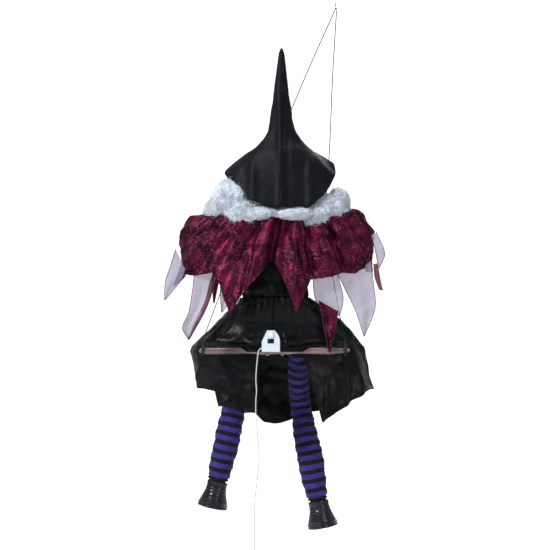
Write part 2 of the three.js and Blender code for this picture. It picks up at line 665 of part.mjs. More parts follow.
function hands() {
  for (const [side, sign] of SIDES) {
    const fist = ellipsoid(HANDS[side], [12, 14, 15], 12, 8);
    const route = cord(ropePath(side, sign), ROPE_R + 0.6, 18);
    const sleeveEnd = HANDS[side].clone().add(v(sign * 17, -16, -2));
    const trim = ellipsoid(sleeveEnd, [13, 13, 13], 12, 8);
    add(`hand_${side}`, cut(fist, route, trim), SKIN);
  }
}

// ---------------------------------------------------------------- cape, bodice and points
const CAPE_STOPS = [
  // height, half width, half depth
  [-400, 40, 34], [-399, 78, 46], [-396, 128, 52], [-403, 164, 56], [-432, 181, 59], [-505, 178, 62],
];

// Depth of the hem's points below its mean height, by place across the back.
function capeHem(x) {
  const spike = (centre, reach, depth) => depth * Math.max(0, 1 - Math.abs(x - centre) / reach);
  return spike(-82, 52, 82) + spike(40, 44, 78) - spike(-9, 34, 20) + spike(120, 60, 6);
}

function capePoint(u, w) {
  const place = w * (CAPE_STOPS.length - 1);
  const i = Math.min(Math.floor(place), CAPE_STOPS.length - 2);
  const [a, b] = [CAPE_STOPS[i], CAPE_STOPS[i + 1]];
  const [height, halfX, halfY] = a.map((value, k) => mix(value, b[k], place - i));
  const opening = mix(70, 160, Math.min(1, w * 2.4));
  const angle = rad(mix(opening, 540 - opening, u));
  const [c, s] = [Math.cos(angle), Math.sin(angle)];
  const x = 4 + halfX * Math.sign(c) * Math.abs(c) ** 0.8;
  const y = halfY * Math.sign(s) * Math.abs(s) ** 0.8;
  const frontDrop = 30 * Math.max(0, s) * Math.max(0, 1 - 2 * w);
  const hem = s < 0 ? capeHem(x) * Math.max(0, (w - 0.6) / 0.4) : 0;
  return v(x, y, height - hem - frontDrop);
}

function capeForm(grow = 0) {
  return sheet(capePoint, 32, 7, 2 + 2 * grow);
}

function bodice() {
  const stops = [[-446, 56, 34], [-490, 60, 38], [-530, 64, 40], [-556, 62, 38]];
  const point = (u, w) => {
    const place = w * (stops.length - 1);
    const i = Math.min(Math.floor(place), stops.length - 2);
    const [z, halfX, halfY] = stops[i].map((value, k) => mix(value, stops[i + 1][k], place - i));
    return v(halfX * Math.cos(u * 2 * Math.PI), halfY * Math.sin(u * 2 * Math.PI), z);
  };
  add('bodice', sheet(point, 22, 3, 2, true), SATIN);
}

// A hanging strip of cloth in an upright plane: top edge from a to b, point at the tip.
function clothPoint(a, b, tip) {
  const point = (u, w) => a.clone().lerp(b, u).lerp(tip.clone().add(v((u - 0.5) * 6, 0, 0)), w);
  return sheet(point, 2, 4, 1.6);
}

function skirtPoints() {
  add('skirt_point_right', clothPoint(v(80, -43, -572), v(118, -43, -584), v(103, -47, -656)), LAME);
  add('skirt_point_left', clothPoint(v(-116, 24, -640), v(-92, 24, -640), v(-103, 24, -759)), LAME);
}

// Sheer panels sewn along the sleeve: the hem's points are [x, z] from the inner end outward.
const SHEER_TOP = -508;
const SHEER_HEMS = {
  left: [[-100, -560], [-102, -584], [-118, -530], [-161, -631], [-164, -530], [-200, -555], [-206, -512]],
  right: [
    [72, -540], [116, -585], [128, -530], [142, -552], [170, -625], [184, -560], [190, -524], [194, -514],
  ],
};

function sheerSleeve(side, sign) {
  const hem = SHEER_HEMS[side];
  const point = (u, w) => {
    const place = u * (hem.length - 1);
    const i = Math.min(Math.floor(place), hem.length - 2);
    const x = mix(hem[i][0], hem[i + 1][0], place - i);
    const z = mix(hem[i][1], hem[i + 1][1], place - i);
    return v(mix(sign * mix(96, 168, u), x, w), -18, mix(SHEER_TOP, z, w));
  };
  add(`sheer_${side}`, sheet(point, (hem.length - 1) * 2, 4, 1.6), ORGANZA);
}

// ---------------------------------------------------------------- skirt
const SKIRT_TOP = -562;
const SKIRT_HEM = [
  // direction in degrees from the right, height
  [-90, -786], [-45, -782], [0, -730], [45, -765], [90, -797], [135, -772], [180, -723], [225, -742],
  [270, -768],
];
const SKIRT_SIDES = [
  // height, left reach, right reach, front, back
  [-562, 70, 76, 42, -41], [-572, 84, 100, 62, -38], [-598, 108, 129, 108, -26], [-621, 130, 148, 142, -24.6],
  [-644, 156, 162, 166, -24.4], [-657, 160, 167, 176, -24.4], [-689, 153, 173, 190, -24.4],
  [-730, 146, 184, 198, -25], [-800, 140, 190, 200, -26],
];

function fromTable(table, key) {
  const rising = table[0][0] < table[1][0];
  const last = table.length - 2;
  const found = table.findIndex((row, k) => k > 0 && (rising ? key <= row[0] : key >= row[0]));
  const i = found < 0 ? last : found - 1;
  const [a, b] = [table[i], table[i + 1]];
  const t = THREE.MathUtils.clamp((key - a[0]) / (b[0] - a[0]), 0, 1);
  return a.slice(1).map((value, k) => mix(value, b[k + 1], t));
}

// Places of the back slit's two edges by height.
const SLIT = [
  // height, left edge, right edge
  [-562, -9, -6], [-604, -10, -5], [-616, -27.5, 12.5], [-650, -27.5, 12.5], [-668, -30, 55], [-800, -32, 94],
];

function skirtPoint(u, w) {
  const squareness = 0.72;
  const spread = (value) => Math.sign(value) * Math.abs(value) ** squareness;
  let angle = mix(-89, 269, u);
  let z = 0;
  for (let pass = 0; pass < 3; pass++) {
    z = mix(SKIRT_TOP, fromTable(SKIRT_HEM, angle)[0], w);
    const [left, right] = fromTable(SKIRT_SIDES, z);
    const [slitLeft, slitRight] = fromTable(SLIT, z);
    const turn = (edge) => {
      const reach = edge > 0 ? right : left;
      const share = Math.acos((Math.abs(edge) / reach) ** (1 / squareness)) * 180 / Math.PI;
      return edge > 0 ? -share : -180 + share;
    };
    angle = mix(turn(slitRight), 360 + turn(slitLeft), u);
  }
  const [left, right, front, back] = fromTable(SKIRT_SIDES, z);
  const [c, s] = [Math.cos(rad(angle)), Math.sin(rad(angle))];
  const middle = (front + back) / 2;
  const x = spread(c) * (c > 0 ? right : left);
  return v(x, middle + spread(s) * (front - middle), z);
}

function skirt() {
  add('skirt', sheet(skirtPoint, 38, 7, 1), SATIN);
}

// ---------------------------------------------------------------- lead and trigger button
const LEAD_ROUTE = [
  v(-27.5, -44.6, -649), v(-29.5, -45.2, -650.5), v(-30.8, -46, -654), v(-33.6, -47, -676),
  v(-35.4, -47, -706), v(-34.2, -47, -727), v(-35.4, -47, -744), v(-35.4, -47, -774),
  v(-32.4, -47, -809), v(-29.8, -47, -843), v(-30.4, -47, -870), v(-34.6, -47, -905),
  v(-37.4, -47, -933), v(-38.4, -47, -964), v(-38.4, -47, -1000), v(-38.4, -47, -1029.7),
];
// The rest of the lead, wound in four and a half long loops whose ends turn at three lead diameters.
const HANK = { x: -32.4, y: -42.6, top: -1030, length: 50, halfWidth: 7, thickness: 10.8 };
const TRIGGER = { x: -38.4, y: -38.2, z: -1093, radius: 11 };

function lead() {
  const reliefPath = [v(-24.7, -40, -648), v(-26, -41.4, -648), v(-27.2, -44, -648.7)];
  add('strain_relief', sweep(reliefPath, [1.8, 1.6, 1.3], 10, v(0, 0, 1)), WHITE);
  add('trigger_lead', cord(LEAD_ROUTE, LEAD_R, 44), WHITE);
  const outline = new THREE.Shape();
  const reach = HANK.length / 2 - HANK.halfWidth;
  outline.absarc(0, reach, HANK.halfWidth, 0, Math.PI);
  outline.absarc(0, -reach, HANK.halfWidth, Math.PI, 2 * Math.PI);
  const settings = { depth: HANK.thickness, bevelEnabled: false, curveSegments: 8 };
  const body = new THREE.ExtrudeGeometry(outline, settings).rotateX(Math.PI / 2);
  body.translate(HANK.x, HANK.y + HANK.thickness / 2, HANK.top - HANK.length / 2);
  add('lead_hank', body, WHITE);
  const outer = ringBand(HANK.halfWidth + 1.2, HANK.thickness / 2 + 1.2);
  const inner = ringBand(HANK.halfWidth + GAP, HANK.thickness / 2 + GAP);
  add('hank_tie', shell(outer, inner, true), DARK);
}

function ringBand(halfX, halfY) {
  const corners = [[1, -1], [1, 1], [-1, 1], [-1, -1]];
  const middle = HANK.top - HANK.length / 2;
  const corner = (sx, sy, dz) => v(HANK.x + sx * halfX, HANK.y + sy * halfY, middle + dz);
  return corners.map(([sx, sy]) => [corner(sx, sy, 1.5), corner(sx, sy, -1.5)]);
}

function triggerButton() {
  const along = (y) => v(TRIGGER.x, TRIGGER.y + y, TRIGGER.z);
  const body = rod(along(-6), along(6), TRIGGER.radius, 24);
  const well = rod(along(-10), along(3), 6.5, 20);
  add('trigger_body', cut(body, well), WHITE);
  add('trigger_plunger', rod(along(-8), along(0), 6.2, 20), LAME);
}

// ---------------------------------------------------------------- assembly
stringLoop();
loopKnot();
SIDES.forEach(([side, sign]) => ropeWithKnot(side, sign));
perchBar();
SIDES.forEach(([side, sign]) => barScrew(side, sign));
pelvisHousing();
housingScrews();
crankGear();
crankShaft();
wormAndMotor();
controlBox();
boxButton();
slideSwitch();
circuitBoard();
torso();
insideTorso();
neck();
SIDES.forEach(([side, sign]) => thighCore(side, sign));
SIDES.forEach(([side, sign]) => thighStocking(side, sign));
SIDES.forEach(([side]) => shin(side));
head();
hat();
hair();
SIDES.forEach(([side, sign]) => arm(side, sign));
hands();
add('cape', capeForm(), LAME);
bodice();
skirtPoints();
SIDES.forEach(([side, sign]) => sheerSleeve(side, sign));
skirt();
lead();
triggerButton();

export default witch;
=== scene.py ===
"""A hanging witch on a swing bar, seen from behind: cloth, hair, cords and finishes round the frame."""
import json
import math
import random

import bmesh
import bpy
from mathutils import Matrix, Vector, noise


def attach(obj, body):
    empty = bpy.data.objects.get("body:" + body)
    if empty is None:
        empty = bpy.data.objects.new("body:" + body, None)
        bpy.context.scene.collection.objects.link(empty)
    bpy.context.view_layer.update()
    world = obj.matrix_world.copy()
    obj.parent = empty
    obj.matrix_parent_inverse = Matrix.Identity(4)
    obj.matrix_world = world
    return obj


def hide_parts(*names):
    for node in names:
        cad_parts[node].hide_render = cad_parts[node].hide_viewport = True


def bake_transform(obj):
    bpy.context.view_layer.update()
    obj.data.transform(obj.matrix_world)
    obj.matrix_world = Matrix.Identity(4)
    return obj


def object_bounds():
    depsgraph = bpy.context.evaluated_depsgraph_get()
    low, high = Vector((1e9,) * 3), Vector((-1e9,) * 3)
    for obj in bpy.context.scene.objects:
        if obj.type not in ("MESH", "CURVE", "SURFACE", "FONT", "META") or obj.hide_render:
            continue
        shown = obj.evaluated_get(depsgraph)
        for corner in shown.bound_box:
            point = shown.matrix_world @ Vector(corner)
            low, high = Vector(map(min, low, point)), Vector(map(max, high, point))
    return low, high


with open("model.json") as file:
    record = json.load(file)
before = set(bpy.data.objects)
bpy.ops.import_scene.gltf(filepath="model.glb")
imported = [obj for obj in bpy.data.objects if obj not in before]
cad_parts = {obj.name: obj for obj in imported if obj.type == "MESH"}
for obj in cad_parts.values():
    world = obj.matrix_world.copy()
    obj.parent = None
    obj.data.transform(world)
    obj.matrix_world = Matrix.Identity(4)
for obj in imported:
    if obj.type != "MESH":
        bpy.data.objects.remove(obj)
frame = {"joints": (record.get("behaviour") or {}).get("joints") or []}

CAD_BOX = [list(corner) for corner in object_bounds()]
MM = 0.001
TAU = 2 * math.pi
SIDES = (("left", -1), ("right", 1))
JOINTS = {joint["name"]: joint for joint in frame["joints"]}
HIP = {side: Vector(JOINTS[f"kick_{side}"]["pos_m"]) for side, _ in SIDES}
KNEE = {side: Vector(JOINTS[f"knee_{side}"]["pos_m"]) for side, _ in SIDES}
FIGURE = Vector(((HIP["left"].x + HIP["right"].x) / 2, HIP["left"].y, 0))   # body centre line
HANDS = {"left": (-70, 112, -435), "right": (97, 112, -435)}                 # where the hands hold the string


def mm(x, y, z):
    return Vector((x, y, z)) * MM


def at(x, y, z):
    """A point given in millimetres from the body's centre line and the hook's height."""
    return FIGURE + mm(x, y, z)


def mix(a, b, t):
    return a + (b - a) * t


def clamp(t):
    return max(0.0, min(1.0, t))


def smooth(t):
    t = clamp(t)
    return t * t * (3 - 2 * t)


def bell(distance, width, power=2):
    """1 at a distance of 0, falling away over the width."""
    return math.exp(-(distance / width) ** power)


def steps(count, low=0.0, high=1.0):
    """Even steps from low to high, both included."""
    return [mix(low, high, k / count) for k in range(count + 1)]


def table(rows, key):
    """Linear reading of a table whose first column rises or falls."""
    rising = rows[0][0] < rows[1][0]
    for a, b in zip(rows, rows[1:]):
        if (key <= b[0]) if rising else (key >= b[0]):
            break
    t = clamp((key - a[0]) / (b[0] - a[0]))
    return [mix(p, q, t) for p, q in zip(a[1:], b[1:])]


def ripple(x, y, z, scale, seed=0.0):
    """Smooth noise from -1 to 1, with scale in millimetres per feature."""
    return noise.noise(Vector((x / scale + seed, y / scale - seed, z / scale + 2 * seed)))


# ------------------------------------------------------------------ camera
FRAME_WIDTH = 1.034
CAMERA_DISTANCE = 8.0
FRAME_CENTRE = at(0.3, 0, -510.4)

camera_data = bpy.data.cameras.new("camera")
camera_data.sensor_width = 36
camera_data.lens = camera_data.sensor_width * CAMERA_DISTANCE / FRAME_WIDTH
camera_data.clip_end = 60
camera = bpy.data.objects.new("camera", camera_data)
camera.location = FRAME_CENTRE + Vector((0, -CAMERA_DISTANCE, 0))
camera.rotation_euler = (math.pi / 2, 0, 0)
bpy.context.collection.objects.link(camera)
bpy.context.scene.camera = camera


# ------------------------------------------------------------------ building pieces
def piece(name, data, slot, look=None, body="figure"):
    """Links a new object, gives it its finish, the slot's own when no look is given, and makes it ride on a
    body when one is given.
    """
    data.name = name
    obj = bpy.data.objects.new(name, data)
    bpy.context.collection.objects.link(obj)
    data.materials.append(LOOK[look or slot])
    if body:
        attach(obj, body)
    return obj


def mesh_data(points, faces, uvs=None):
    data = bpy.data.meshes.new("mesh")
    data.from_pydata([tuple(p) for p in points], [], faces)
    data.validate()
    if uvs:
        layer = data.uv_layers.new(name="UVMap")
        for loop in data.loops:
            layer.data[loop.index].uv = uvs[loop.vertex_index]
    data.polygons.foreach_set("use_smooth", [True] * len(data.polygons))
    bm = bmesh.new()
    bm.from_mesh(data)
    bmesh.ops.recalc_face_normals(bm, faces=bm.faces)
    bm.to_mesh(data)
    bm.free()
    return data


def grid(point, nu, nv, closed=False, ends=False):
    """A surface point(u, v) as a mesh, with u running round when closed. ends closes both ends of v."""
    columns = nu if closed else nu + 1
    uvs = [(i / nu, j / nv) for i in range(columns) for j in range(nv + 1)]
    faces = []
    for i in range(nu):
        k = (i + 1) % columns
        for j in range(nv):
            a, b = i * (nv + 1) + j, k * (nv + 1) + j
            faces.append((a, b, b + 1, a + 1))
    if ends:
        faces.append([i * (nv + 1) for i in range(columns)][::-1])
        faces.append([i * (nv + 1) + nv for i in range(columns)])
    return mesh_data([point(u, v) for u, v in uvs], faces, uvs)


def thicken(obj, thickness):
    """Gives a sheet its real thickness and applies it."""
    solid = obj.modifiers.new("thickness", "SOLIDIFY")
    solid.thickness = thickness
    solid.offset = 0
    bpy.context.view_layer.update()
    evaluated = obj.evaluated_get(bpy.context.evaluated_depsgraph_get())
    data = bpy.data.meshes.new_from_object(evaluated)
    obj.modifiers.clear()
    old = obj.data
    obj.data = data
    bpy.data.meshes.remove(old)


def join_meshes(parts):
    """One mesh from several (points, faces) lists."""
    points, faces = [], []
    for part_points, part_faces in parts:
        first = len(points)
        points += part_points
        faces += [[first + k for k in face] for face in part_faces]
    return mesh_data(points, faces)


def rings_part(rings):
    """Points and faces of a closed body through a list of rings with as many points each."""
    sides = len(rings[0])
    faces = []
    for i in range(len(rings) - 1):
        for k in range(sides):
            a, b = i * sides + k, i * sides + (k + 1) % sides
            faces.append([a, b, b + sides, a + sides])
    faces.append(list(range(sides))[::-1])
    faces.append([(len(rings) - 1) * sides + k for k in range(sides)])
    return [p for ring in rings for p in ring], faces


def tube_part(path, radii, sides=10, across=Vector((1, 0, 0)), flat=1.0):
    """A closed tube along a path; flat squeezes it across its second direction."""
    rings = []
    for i, p in enumerate(path):
        along = (path[min(i + 1, len(path) - 1)] - path[max(i - 1, 0)]).normalized()
        side = across - along * across.dot(along)
        if side.length < 0.05:
            side = Vector((0.1, 1, 0)) - along * along.y
        side.normalize()
        up = along.cross(side)
        radius = radii[i] if hasattr(radii, "__len__") else radii
        rings.append([p + side * radius * math.cos(angle) + up * radius * flat * math.sin(angle)
                      for angle in steps(sides, 0, TAU)[:-1]])
    return rings_part(rings)


def tapered(radius, count, taper, power=1.0, least=0.0):
    """Radii along a path that is thickest in its middle."""
    return [radius * MM * max(least, 1 - taper * abs(t) ** power) for t in steps(count, -1, 1)]


def catmull(points, count):
    """A smooth curve through given points, centripetal, with count even steps in each stretch."""
    def between(a, b, first, last):
        """The place at t on the line that is at a for one knot and at b for another."""
        return a.lerp(b, (t - knots[first]) / (knots[last] - knots[first]))

    out = []
    ends = [points[0] * 2 - points[1], *points, points[-1] * 2 - points[-2]]
    for i in range(1, len(ends) - 2):
        p = ends[i - 1:i + 3]
        knots = [0.0]
        for a, b in zip(p, p[1:]):
            knots.append(knots[-1] + max((b - a).length, 1e-9) ** 0.5)
        for k in range(count):
            t = mix(knots[1], knots[2], k / count)
            a, b, c = [between(p[j], p[j + 1], j, j + 1) for j in range(3)]
            out.append(between(between(a, b, 0, 2), between(b, c, 1, 3), 1, 2))
    out.append(points[-1].copy())
    return out


def curve_length(points):
    return sum((b - a).length for a, b in zip(points, points[1:]))


def cord_curve(name, points, radius, slot):
    data = bpy.data.curves.new(name, "CURVE")
    data.dimensions = "3D"
    data.bevel_depth = radius
    data.bevel_resolution = 3
    data.use_fill_caps = True
    spline = data.splines.new("POLY")
    spline.points.add(len(points) - 1)
    for place, p in zip(spline.points, points):
        place.co = (*p, 1)
    spline.use_smooth = True
    return piece(name, data, slot)


# ------------------------------------------------------------------ finishes
class Finish:
    """A node material; its methods add nodes and return a socket to link on, or the finish itself."""

    def __init__(self, name, color, roughness, **settings):
        self.material = bpy.data.materials.new(name)
        self.material.use_nodes = True
        self.tree = self.material.node_tree
        self.shader = next(n for n in self.tree.nodes if n.type == "BSDF_PRINCIPLED")
        self.shader.inputs["Base Color"].default_value = (*color, 1)
        self.shader.inputs["Roughness"].default_value = roughness
        for socket, value in settings.items():
            self.shader.inputs[socket.replace("_", " ")].default_value = value

    def node(self, kind, **values):
        node = self.tree.nodes.new(kind)
        for key, value in values.items():
            if key in node.inputs:
                node.inputs[key].default_value = value
            else:
                setattr(node, key, value)
        return node

    def link(self, source, target):
        self.tree.links.new(source, target)
        return self

    def feed(self, socket, value):
        """A plain value, a colour or a link into a socket."""
        if isinstance(value, (int, float)):
            socket.default_value = value
        elif isinstance(value, tuple):
            socket.default_value = (*value, 1)
        else:
            self.link(value, socket)

    def texture(self, kind, stretch=(1, 1, 1), space="Object", output="Fac", **values):
        """A texture node read at the object's own place, stretched along its axes."""
        texture = self.node(kind, **values)
        move = self.node("ShaderNodeMapping", Scale=stretch)
        self.link(self.node("ShaderNodeTexCoord").outputs[space], move.inputs["Vector"])
        self.link(move.outputs["Vector"], texture.inputs["Vector"])
        return texture.outputs[output]

    def noise(self, scale, detail=4.0, stretch=(1, 1, 1), space="Object"):
        return self.texture("ShaderNodeTexNoise", stretch, space, Scale=scale, Detail=detail)

    def wave(self, scale, direction="X", distortion=0.0, space="Object"):
        return self.texture("ShaderNodeTexWave", space=space, Scale=scale, Distortion=distortion,
                            bands_direction=direction)

    def cells(self, scale, output="Distance"):
        return self.texture("ShaderNodeTexVoronoi", output=output, Scale=scale)

    def ramp(self, fac, stops):
        ramp = self.node("ShaderNodeValToRGB")
        elements = ramp.color_ramp.elements
        while len(elements) < len(stops):
            elements.new(0.5)
        for element, (position, value) in zip(elements, stops):
            element.position = position
            element.color = (*value, 1) if hasattr(value, "__len__") else (value, value, value, 1)
        self.link(fac, ramp.inputs["Fac"])
        return ramp.outputs["Color"]

    def maths(self, operation, a, b=0.0):
        node = self.node("ShaderNodeMath", operation=operation)
        self.feed(node.inputs[0], a)
        self.feed(node.inputs[1], b)
        return node.outputs[0]

    def blend(self, fac, a, b):
        node = self.node("ShaderNodeMix", data_type="RGBA")
        for place, value in ((0, fac), (6, a), (7, b)):
            self.feed(node.inputs[place], value)
        return node.outputs[2]

    def color(self, socket):
        return self.link(socket, self.shader.inputs["Base Color"])

    def mottle(self, stops, scale, detail=4.0, stretch=(1, 1, 1)):
        """Colour that wanders between a few tones."""
        return self.color(self.ramp(self.noise(scale, detail, stretch), stops))

    def rough(self, fac, low, high):
        return self.link(self.ramp(fac, [(0, low), (1, high)]), self.shader.inputs["Roughness"])

    def bump(self, height, strength, distance=0.001):
        node = self.node("ShaderNodeBump", Strength=strength, Distance=distance)
        earlier = self.shader.inputs["Normal"].links
        if earlier:
            self.link(earlier[0].from_socket, node.inputs["Normal"])
        self.link(height, node.inputs["Height"])
        return self.link(node.outputs["Normal"], self.shader.inputs["Normal"])


def plastic(name, color, roughness, speck=0.93, grainy=0.12):
    made = Finish(name, color, roughness)
    made.mottle([(0.3, tuple(c * speck for c in color)), (0.7, color)], 35, 5)
    made.bump(made.noise(2500, 2), grainy, 0.0001)
    made.rough(made.noise(90), roughness * 0.8, min(1, roughness * 1.25))
    return made


PLASTICS = {
    # look: name, colour, roughness, how dark its specks are, how grainy it is
    "white": ("white_plastic", (0.74, 0.82, 0.9), 0.34),
    "cap": ("bright_button", (0.88, 0.92, 0.96), 0.25),
    "dark": ("dark_plastic", (0.012, 0.014, 0.018), 0.45, 0.7, 0.3),
    "grey": ("grey_plastic", (0.15, 0.16, 0.17), 0.5, 0.85),
    "gear": ("natural_acetal", (0.78, 0.76, 0.68), 0.38),
    "board": ("circuit_board", (0.02, 0.13, 0.045), 0.4, 0.6),
    "plunger": ("red_cap", (0.42, 0.012, 0.02), 0.2),
    "lead": ("white_sheath", (0.66, 0.66, 0.66), 0.42),
    "tie": ("black_tie", (0.015, 0.015, 0.018), 0.5, 0.7),
    "lip": ("painted_lips", (0.2, 0.05, 0.06), 0.35, 0.8),
    "eye": ("painted_eyes", (0.7, 0.7, 0.66), 0.12, 0.96, 0.02),
    "iris": ("painted_irises", (0.03, 0.07, 0.03), 0.12, 0.5, 0.02),
}
SWITCH_BACK = -0.0362       # from the centre line, where the switch's dark case meets the green board


def part_of(finish, space, axis):
    """One coordinate of the place on the object or of its UV map."""
    parts = finish.node("ShaderNodeSeparateXYZ")
    finish.link(finish.node("ShaderNodeTexCoord").outputs[space], parts.inputs[0])
    return parts.outputs[axis]


def board_colour(board):
    on_board = board.maths("GREATER_THAN", part_of(board, "Object", "Y"), FIGURE.y + SWITCH_BACK)
    green = board.ramp(board.noise(300, 3), [(0.3, (0.012, 0.09, 0.03)), (0.7, (0.025, 0.15, 0.05))])
    board.color(board.blend(on_board, (0.006, 0.008, 0.012), green))


def sheer(name, light, dark, cover):
    made = Finish(name, light, 0.5, Sheen_Weight=0.1)
    made.mottle([(0.3, dark), (0.7, light)], 30, 5)
    threads = made.maths("MAXIMUM", made.wave(900, "X", 0.6), made.wave(900, "Z", 0.6))
    opacity = made.ramp(threads, [(0.2, cover - 0.14), (0.95, cover + 0.12)])
    made.link(opacity, made.shader.inputs["Alpha"])
    return made.bump(threads, 0.3, 0.0003)


def lame_cloth():
    """Burgundy cloth whose tone carries patches of painted shade and painted highlight, with bright flakes
    whose glint is painted in patches.
    """
    lame = Finish("burgundy_lame", (0.12, 0.01, 0.035), 0.4, Metallic=0.75, Specular_IOR_Level=0.2)
    # the burgundy tone wanders from near black to bright in noise patches: the dark patches are painted
    # shade, the bright ones painted highlight
    tone_and_painted_light = lame.ramp(lame.noise(30, 7, (1, 1, 0.8)), [
        (0.38, (0.018, 0.003, 0.009)), (0.56, (0.07, 0.005, 0.022)), (0.78, (0.21, 0.013, 0.058))])
    # the flakes are real glitter with their own bump and roughness; their bright pink, shown only in noise
    # patches, is painted glint
    flakes = lame.cells(620, output="Color")
    painted_glint = lame.ramp(flakes, [(0.6, 0.0), (0.86, 1.0)])
    glint_patches = lame.maths("MULTIPLY", painted_glint, lame.ramp(lame.noise(60, 4), [(0.4, 0.04), (0.66, 0.6)]))
    # pink painted glint of the flakes laid over the tone with its painted shade and highlight
    lame.color(lame.blend(glint_patches, tone_and_painted_light, (0.72, 0.1, 0.3)))
    lame.bump(lame.cells(620), 0.6, 0.0006).bump(lame.noise(140, 5), 0.5, 0.0015)
    return lame.rough(flakes, 0.22, 0.6)


STRIPES = 19        # purple and black pairs from hip to ankle


def striped_knit():
    """Purple and black bands along the leg, slightly wavy, from the leg's own UV height."""
    knit = Finish("striped_knit", (0.058, 0.038, 0.305), 0.85, Sheen_Weight=0.05, Specular_IOR_Level=0.2)
    waver = knit.maths("MULTIPLY", knit.maths("SUBTRACT", knit.noise(6, 3, space="UV"), 0.5), 0.35)
    height = knit.maths("ADD", knit.maths("MULTIPLY", part_of(knit, "UV", "Y"), float(STRIPES)), waver)
    band = knit.ramp(knit.maths("FRACT", height), [(0.0, 0.0), (0.02, 1.0), (0.52, 1.0), (0.56, 0.0)])
    purple = knit.ramp(knit.noise(90, 5), [(0.3, (0.03, 0.021, 0.16)), (0.7, (0.06, 0.042, 0.3))])
    knit.color(knit.blend(band, (0.006, 0.007, 0.01), purple))
    knit.bump(knit.wave(40, "X", 0.0, "UV"), 0.35, 0.0005)
    return knit.bump(knit.wave(170, "Y", 0.6, "UV"), 0.35, 0.0005)


def make_finishes():
    found = {look: plastic(*facts) for look, facts in PLASTICS.items()}
    board_colour(found["board"])

    string = found["string"] = Finish("black_string", (0.02, 0.02, 0.026), 0.7)
    string.mottle([(0.3, (0.004, 0.004, 0.006)), (0.7, (0.02, 0.02, 0.026))], 900)
    string.bump(string.wave(900, "DIAGONAL", 0.5), 0.5, 0.0003)

    branch = found["branch"] = Finish("glossy_branch", (0.156, 0.091, 0.102), 0.24, Coat_Weight=0.5,
                                      Coat_Roughness=0.12)
    grain = branch.noise(60, 6, (0.35, 1, 1))
    branch.color(branch.ramp(grain, [(0.3, (0.06, 0.034, 0.04)), (0.5, (0.14, 0.085, 0.093)),
                                     (0.72, (0.25, 0.17, 0.18))]))
    branch.bump(grain, 0.35, 0.002).bump(branch.noise(400, 4, (0.3, 1, 1)), 0.25, 0.0005)
    branch.rough(branch.noise(120), 0.14, 0.4)

    steel = found["steel"] = Finish("plated_steel", (0.5, 0.51, 0.53), 0.3, Metallic=1.0)
    steel.rough(steel.noise(60, 6, (1, 1, 12)), 0.2, 0.45)
    steel.bump(steel.noise(700, 3, (1, 1, 0.1)), 0.1, 0.0001)

    skin = found["skin"] = Finish("painted_vinyl", (0.3, 0.36, 0.22), 0.5, Subsurface_Weight=0.08)
    skin.mottle([(0.3, (0.2, 0.25, 0.15)), (0.55, (0.31, 0.37, 0.23)), (0.8, (0.4, 0.42, 0.3))], 28, 6)
    skin.bump(skin.noise(500, 5), 0.18, 0.0004).rough(skin.noise(60), 0.4, 0.62)

    felt = found["felt"] = Finish("black_twill", (0.006, 0.007, 0.01), 0.5, Sheen_Weight=0.01,
                                  Specular_IOR_Level=0.13)
    felt.mottle([(0.3, (0.0012, 0.0016, 0.003)), (0.75, (0.005, 0.007, 0.013))], 30, 7)
    felt.bump(felt.wave(420, "DIAGONAL", 1.2), 0.35, 0.0004).bump(felt.noise(900, 5), 0.3, 0.0004)

    hair = found["hair"] = Finish("grey_fibre", (0.5, 0.56, 0.65), 0.95, Sheen_Weight=0.15,
                                  Sheen_Roughness=0.6)
    hair.mottle([(0.28, (0.36, 0.4, 0.46)), (0.5, (0.56, 0.62, 0.7)), (0.75, (0.74, 0.8, 0.88))], 45, 9)
    hair.bump(hair.noise(260, 9, (1, 1, 0.5)), 0.8, 0.002)

    satin = found["satin"] = Finish("black_satin", (0.004, 0.005, 0.006), 0.34, Sheen_Weight=0.01,
                                    Specular_IOR_Level=0.16)
    satin.mottle([(0.3, (0.001, 0.0014, 0.0018)), (0.75, (0.003, 0.0045, 0.0065))], 12, 5)
    satin.bump(satin.noise(26, 5, (1, 1, 0.35)), 0.55, 0.004).bump(satin.wave(1500, "Z", 0.3), 0.12, 0.0002)
    satin.rough(satin.noise(30, 4), 0.24, 0.46)

    boot = found["boot"] = Finish("glossy_boot", (0.01, 0.013, 0.019), 0.26, Specular_IOR_Level=0.4)
    boot.mottle([(0.3, (0.006, 0.008, 0.012)), (0.75, (0.016, 0.02, 0.03))], 40, 5)
    boot.bump(boot.noise(40, 3), 0.1, 0.0012).rough(boot.noise(30, 4), 0.2, 0.34)

    found["lame"] = lame_cloth()
    found["knit"] = striped_knit()
    found["organza"] = sheer("sheer_organza", (0.4, 0.37, 0.52), (0.29, 0.26, 0.4), 0.55)
    found["edge"] = sheer("burgundy_organza", (0.17, 0.03, 0.07), (0.06, 0.012, 0.03), 0.86)
    found["edge_dark"] = sheer("dark_organza", (0.04, 0.012, 0.022), (0.015, 0.008, 0.012), 0.88)
    return {look: finish.material for look, finish in found.items()}


LOOK = make_finishes()


# ------------------------------------------------------------------ string, knots and lead
HOOK = Vector((0, 0, 0))
ROPE_RADIUS = 0.9
BAR_Y, BAR_Z, BAR_R = -34, -652, 7.5
BAR_ENDS = {"left": at(-135, BAR_Y, BAR_Z), "right": at(132, BAR_Y, BAR_Z)}


def rope_route(side, sign):
    """The string from the top knot through the hand to the bar's end."""
    hand, end = at(*HANDS[side]), BAR_ENDS[side]
    return [
        HOOK + mm(sign * 1.6, 0, -10.2),
        HOOK.lerp(hand, 0.3),
        HOOK.lerp(hand, 0.65),
        hand + mm(sign * -2, 0, 22),
        hand,
        hand + mm(sign * 3, -6, -20),
        hand.lerp(end, 0.5),
        end + mm(sign * -2, 3, 22),
        end + mm(0, 0, BAR_R + 1.8),
    ]


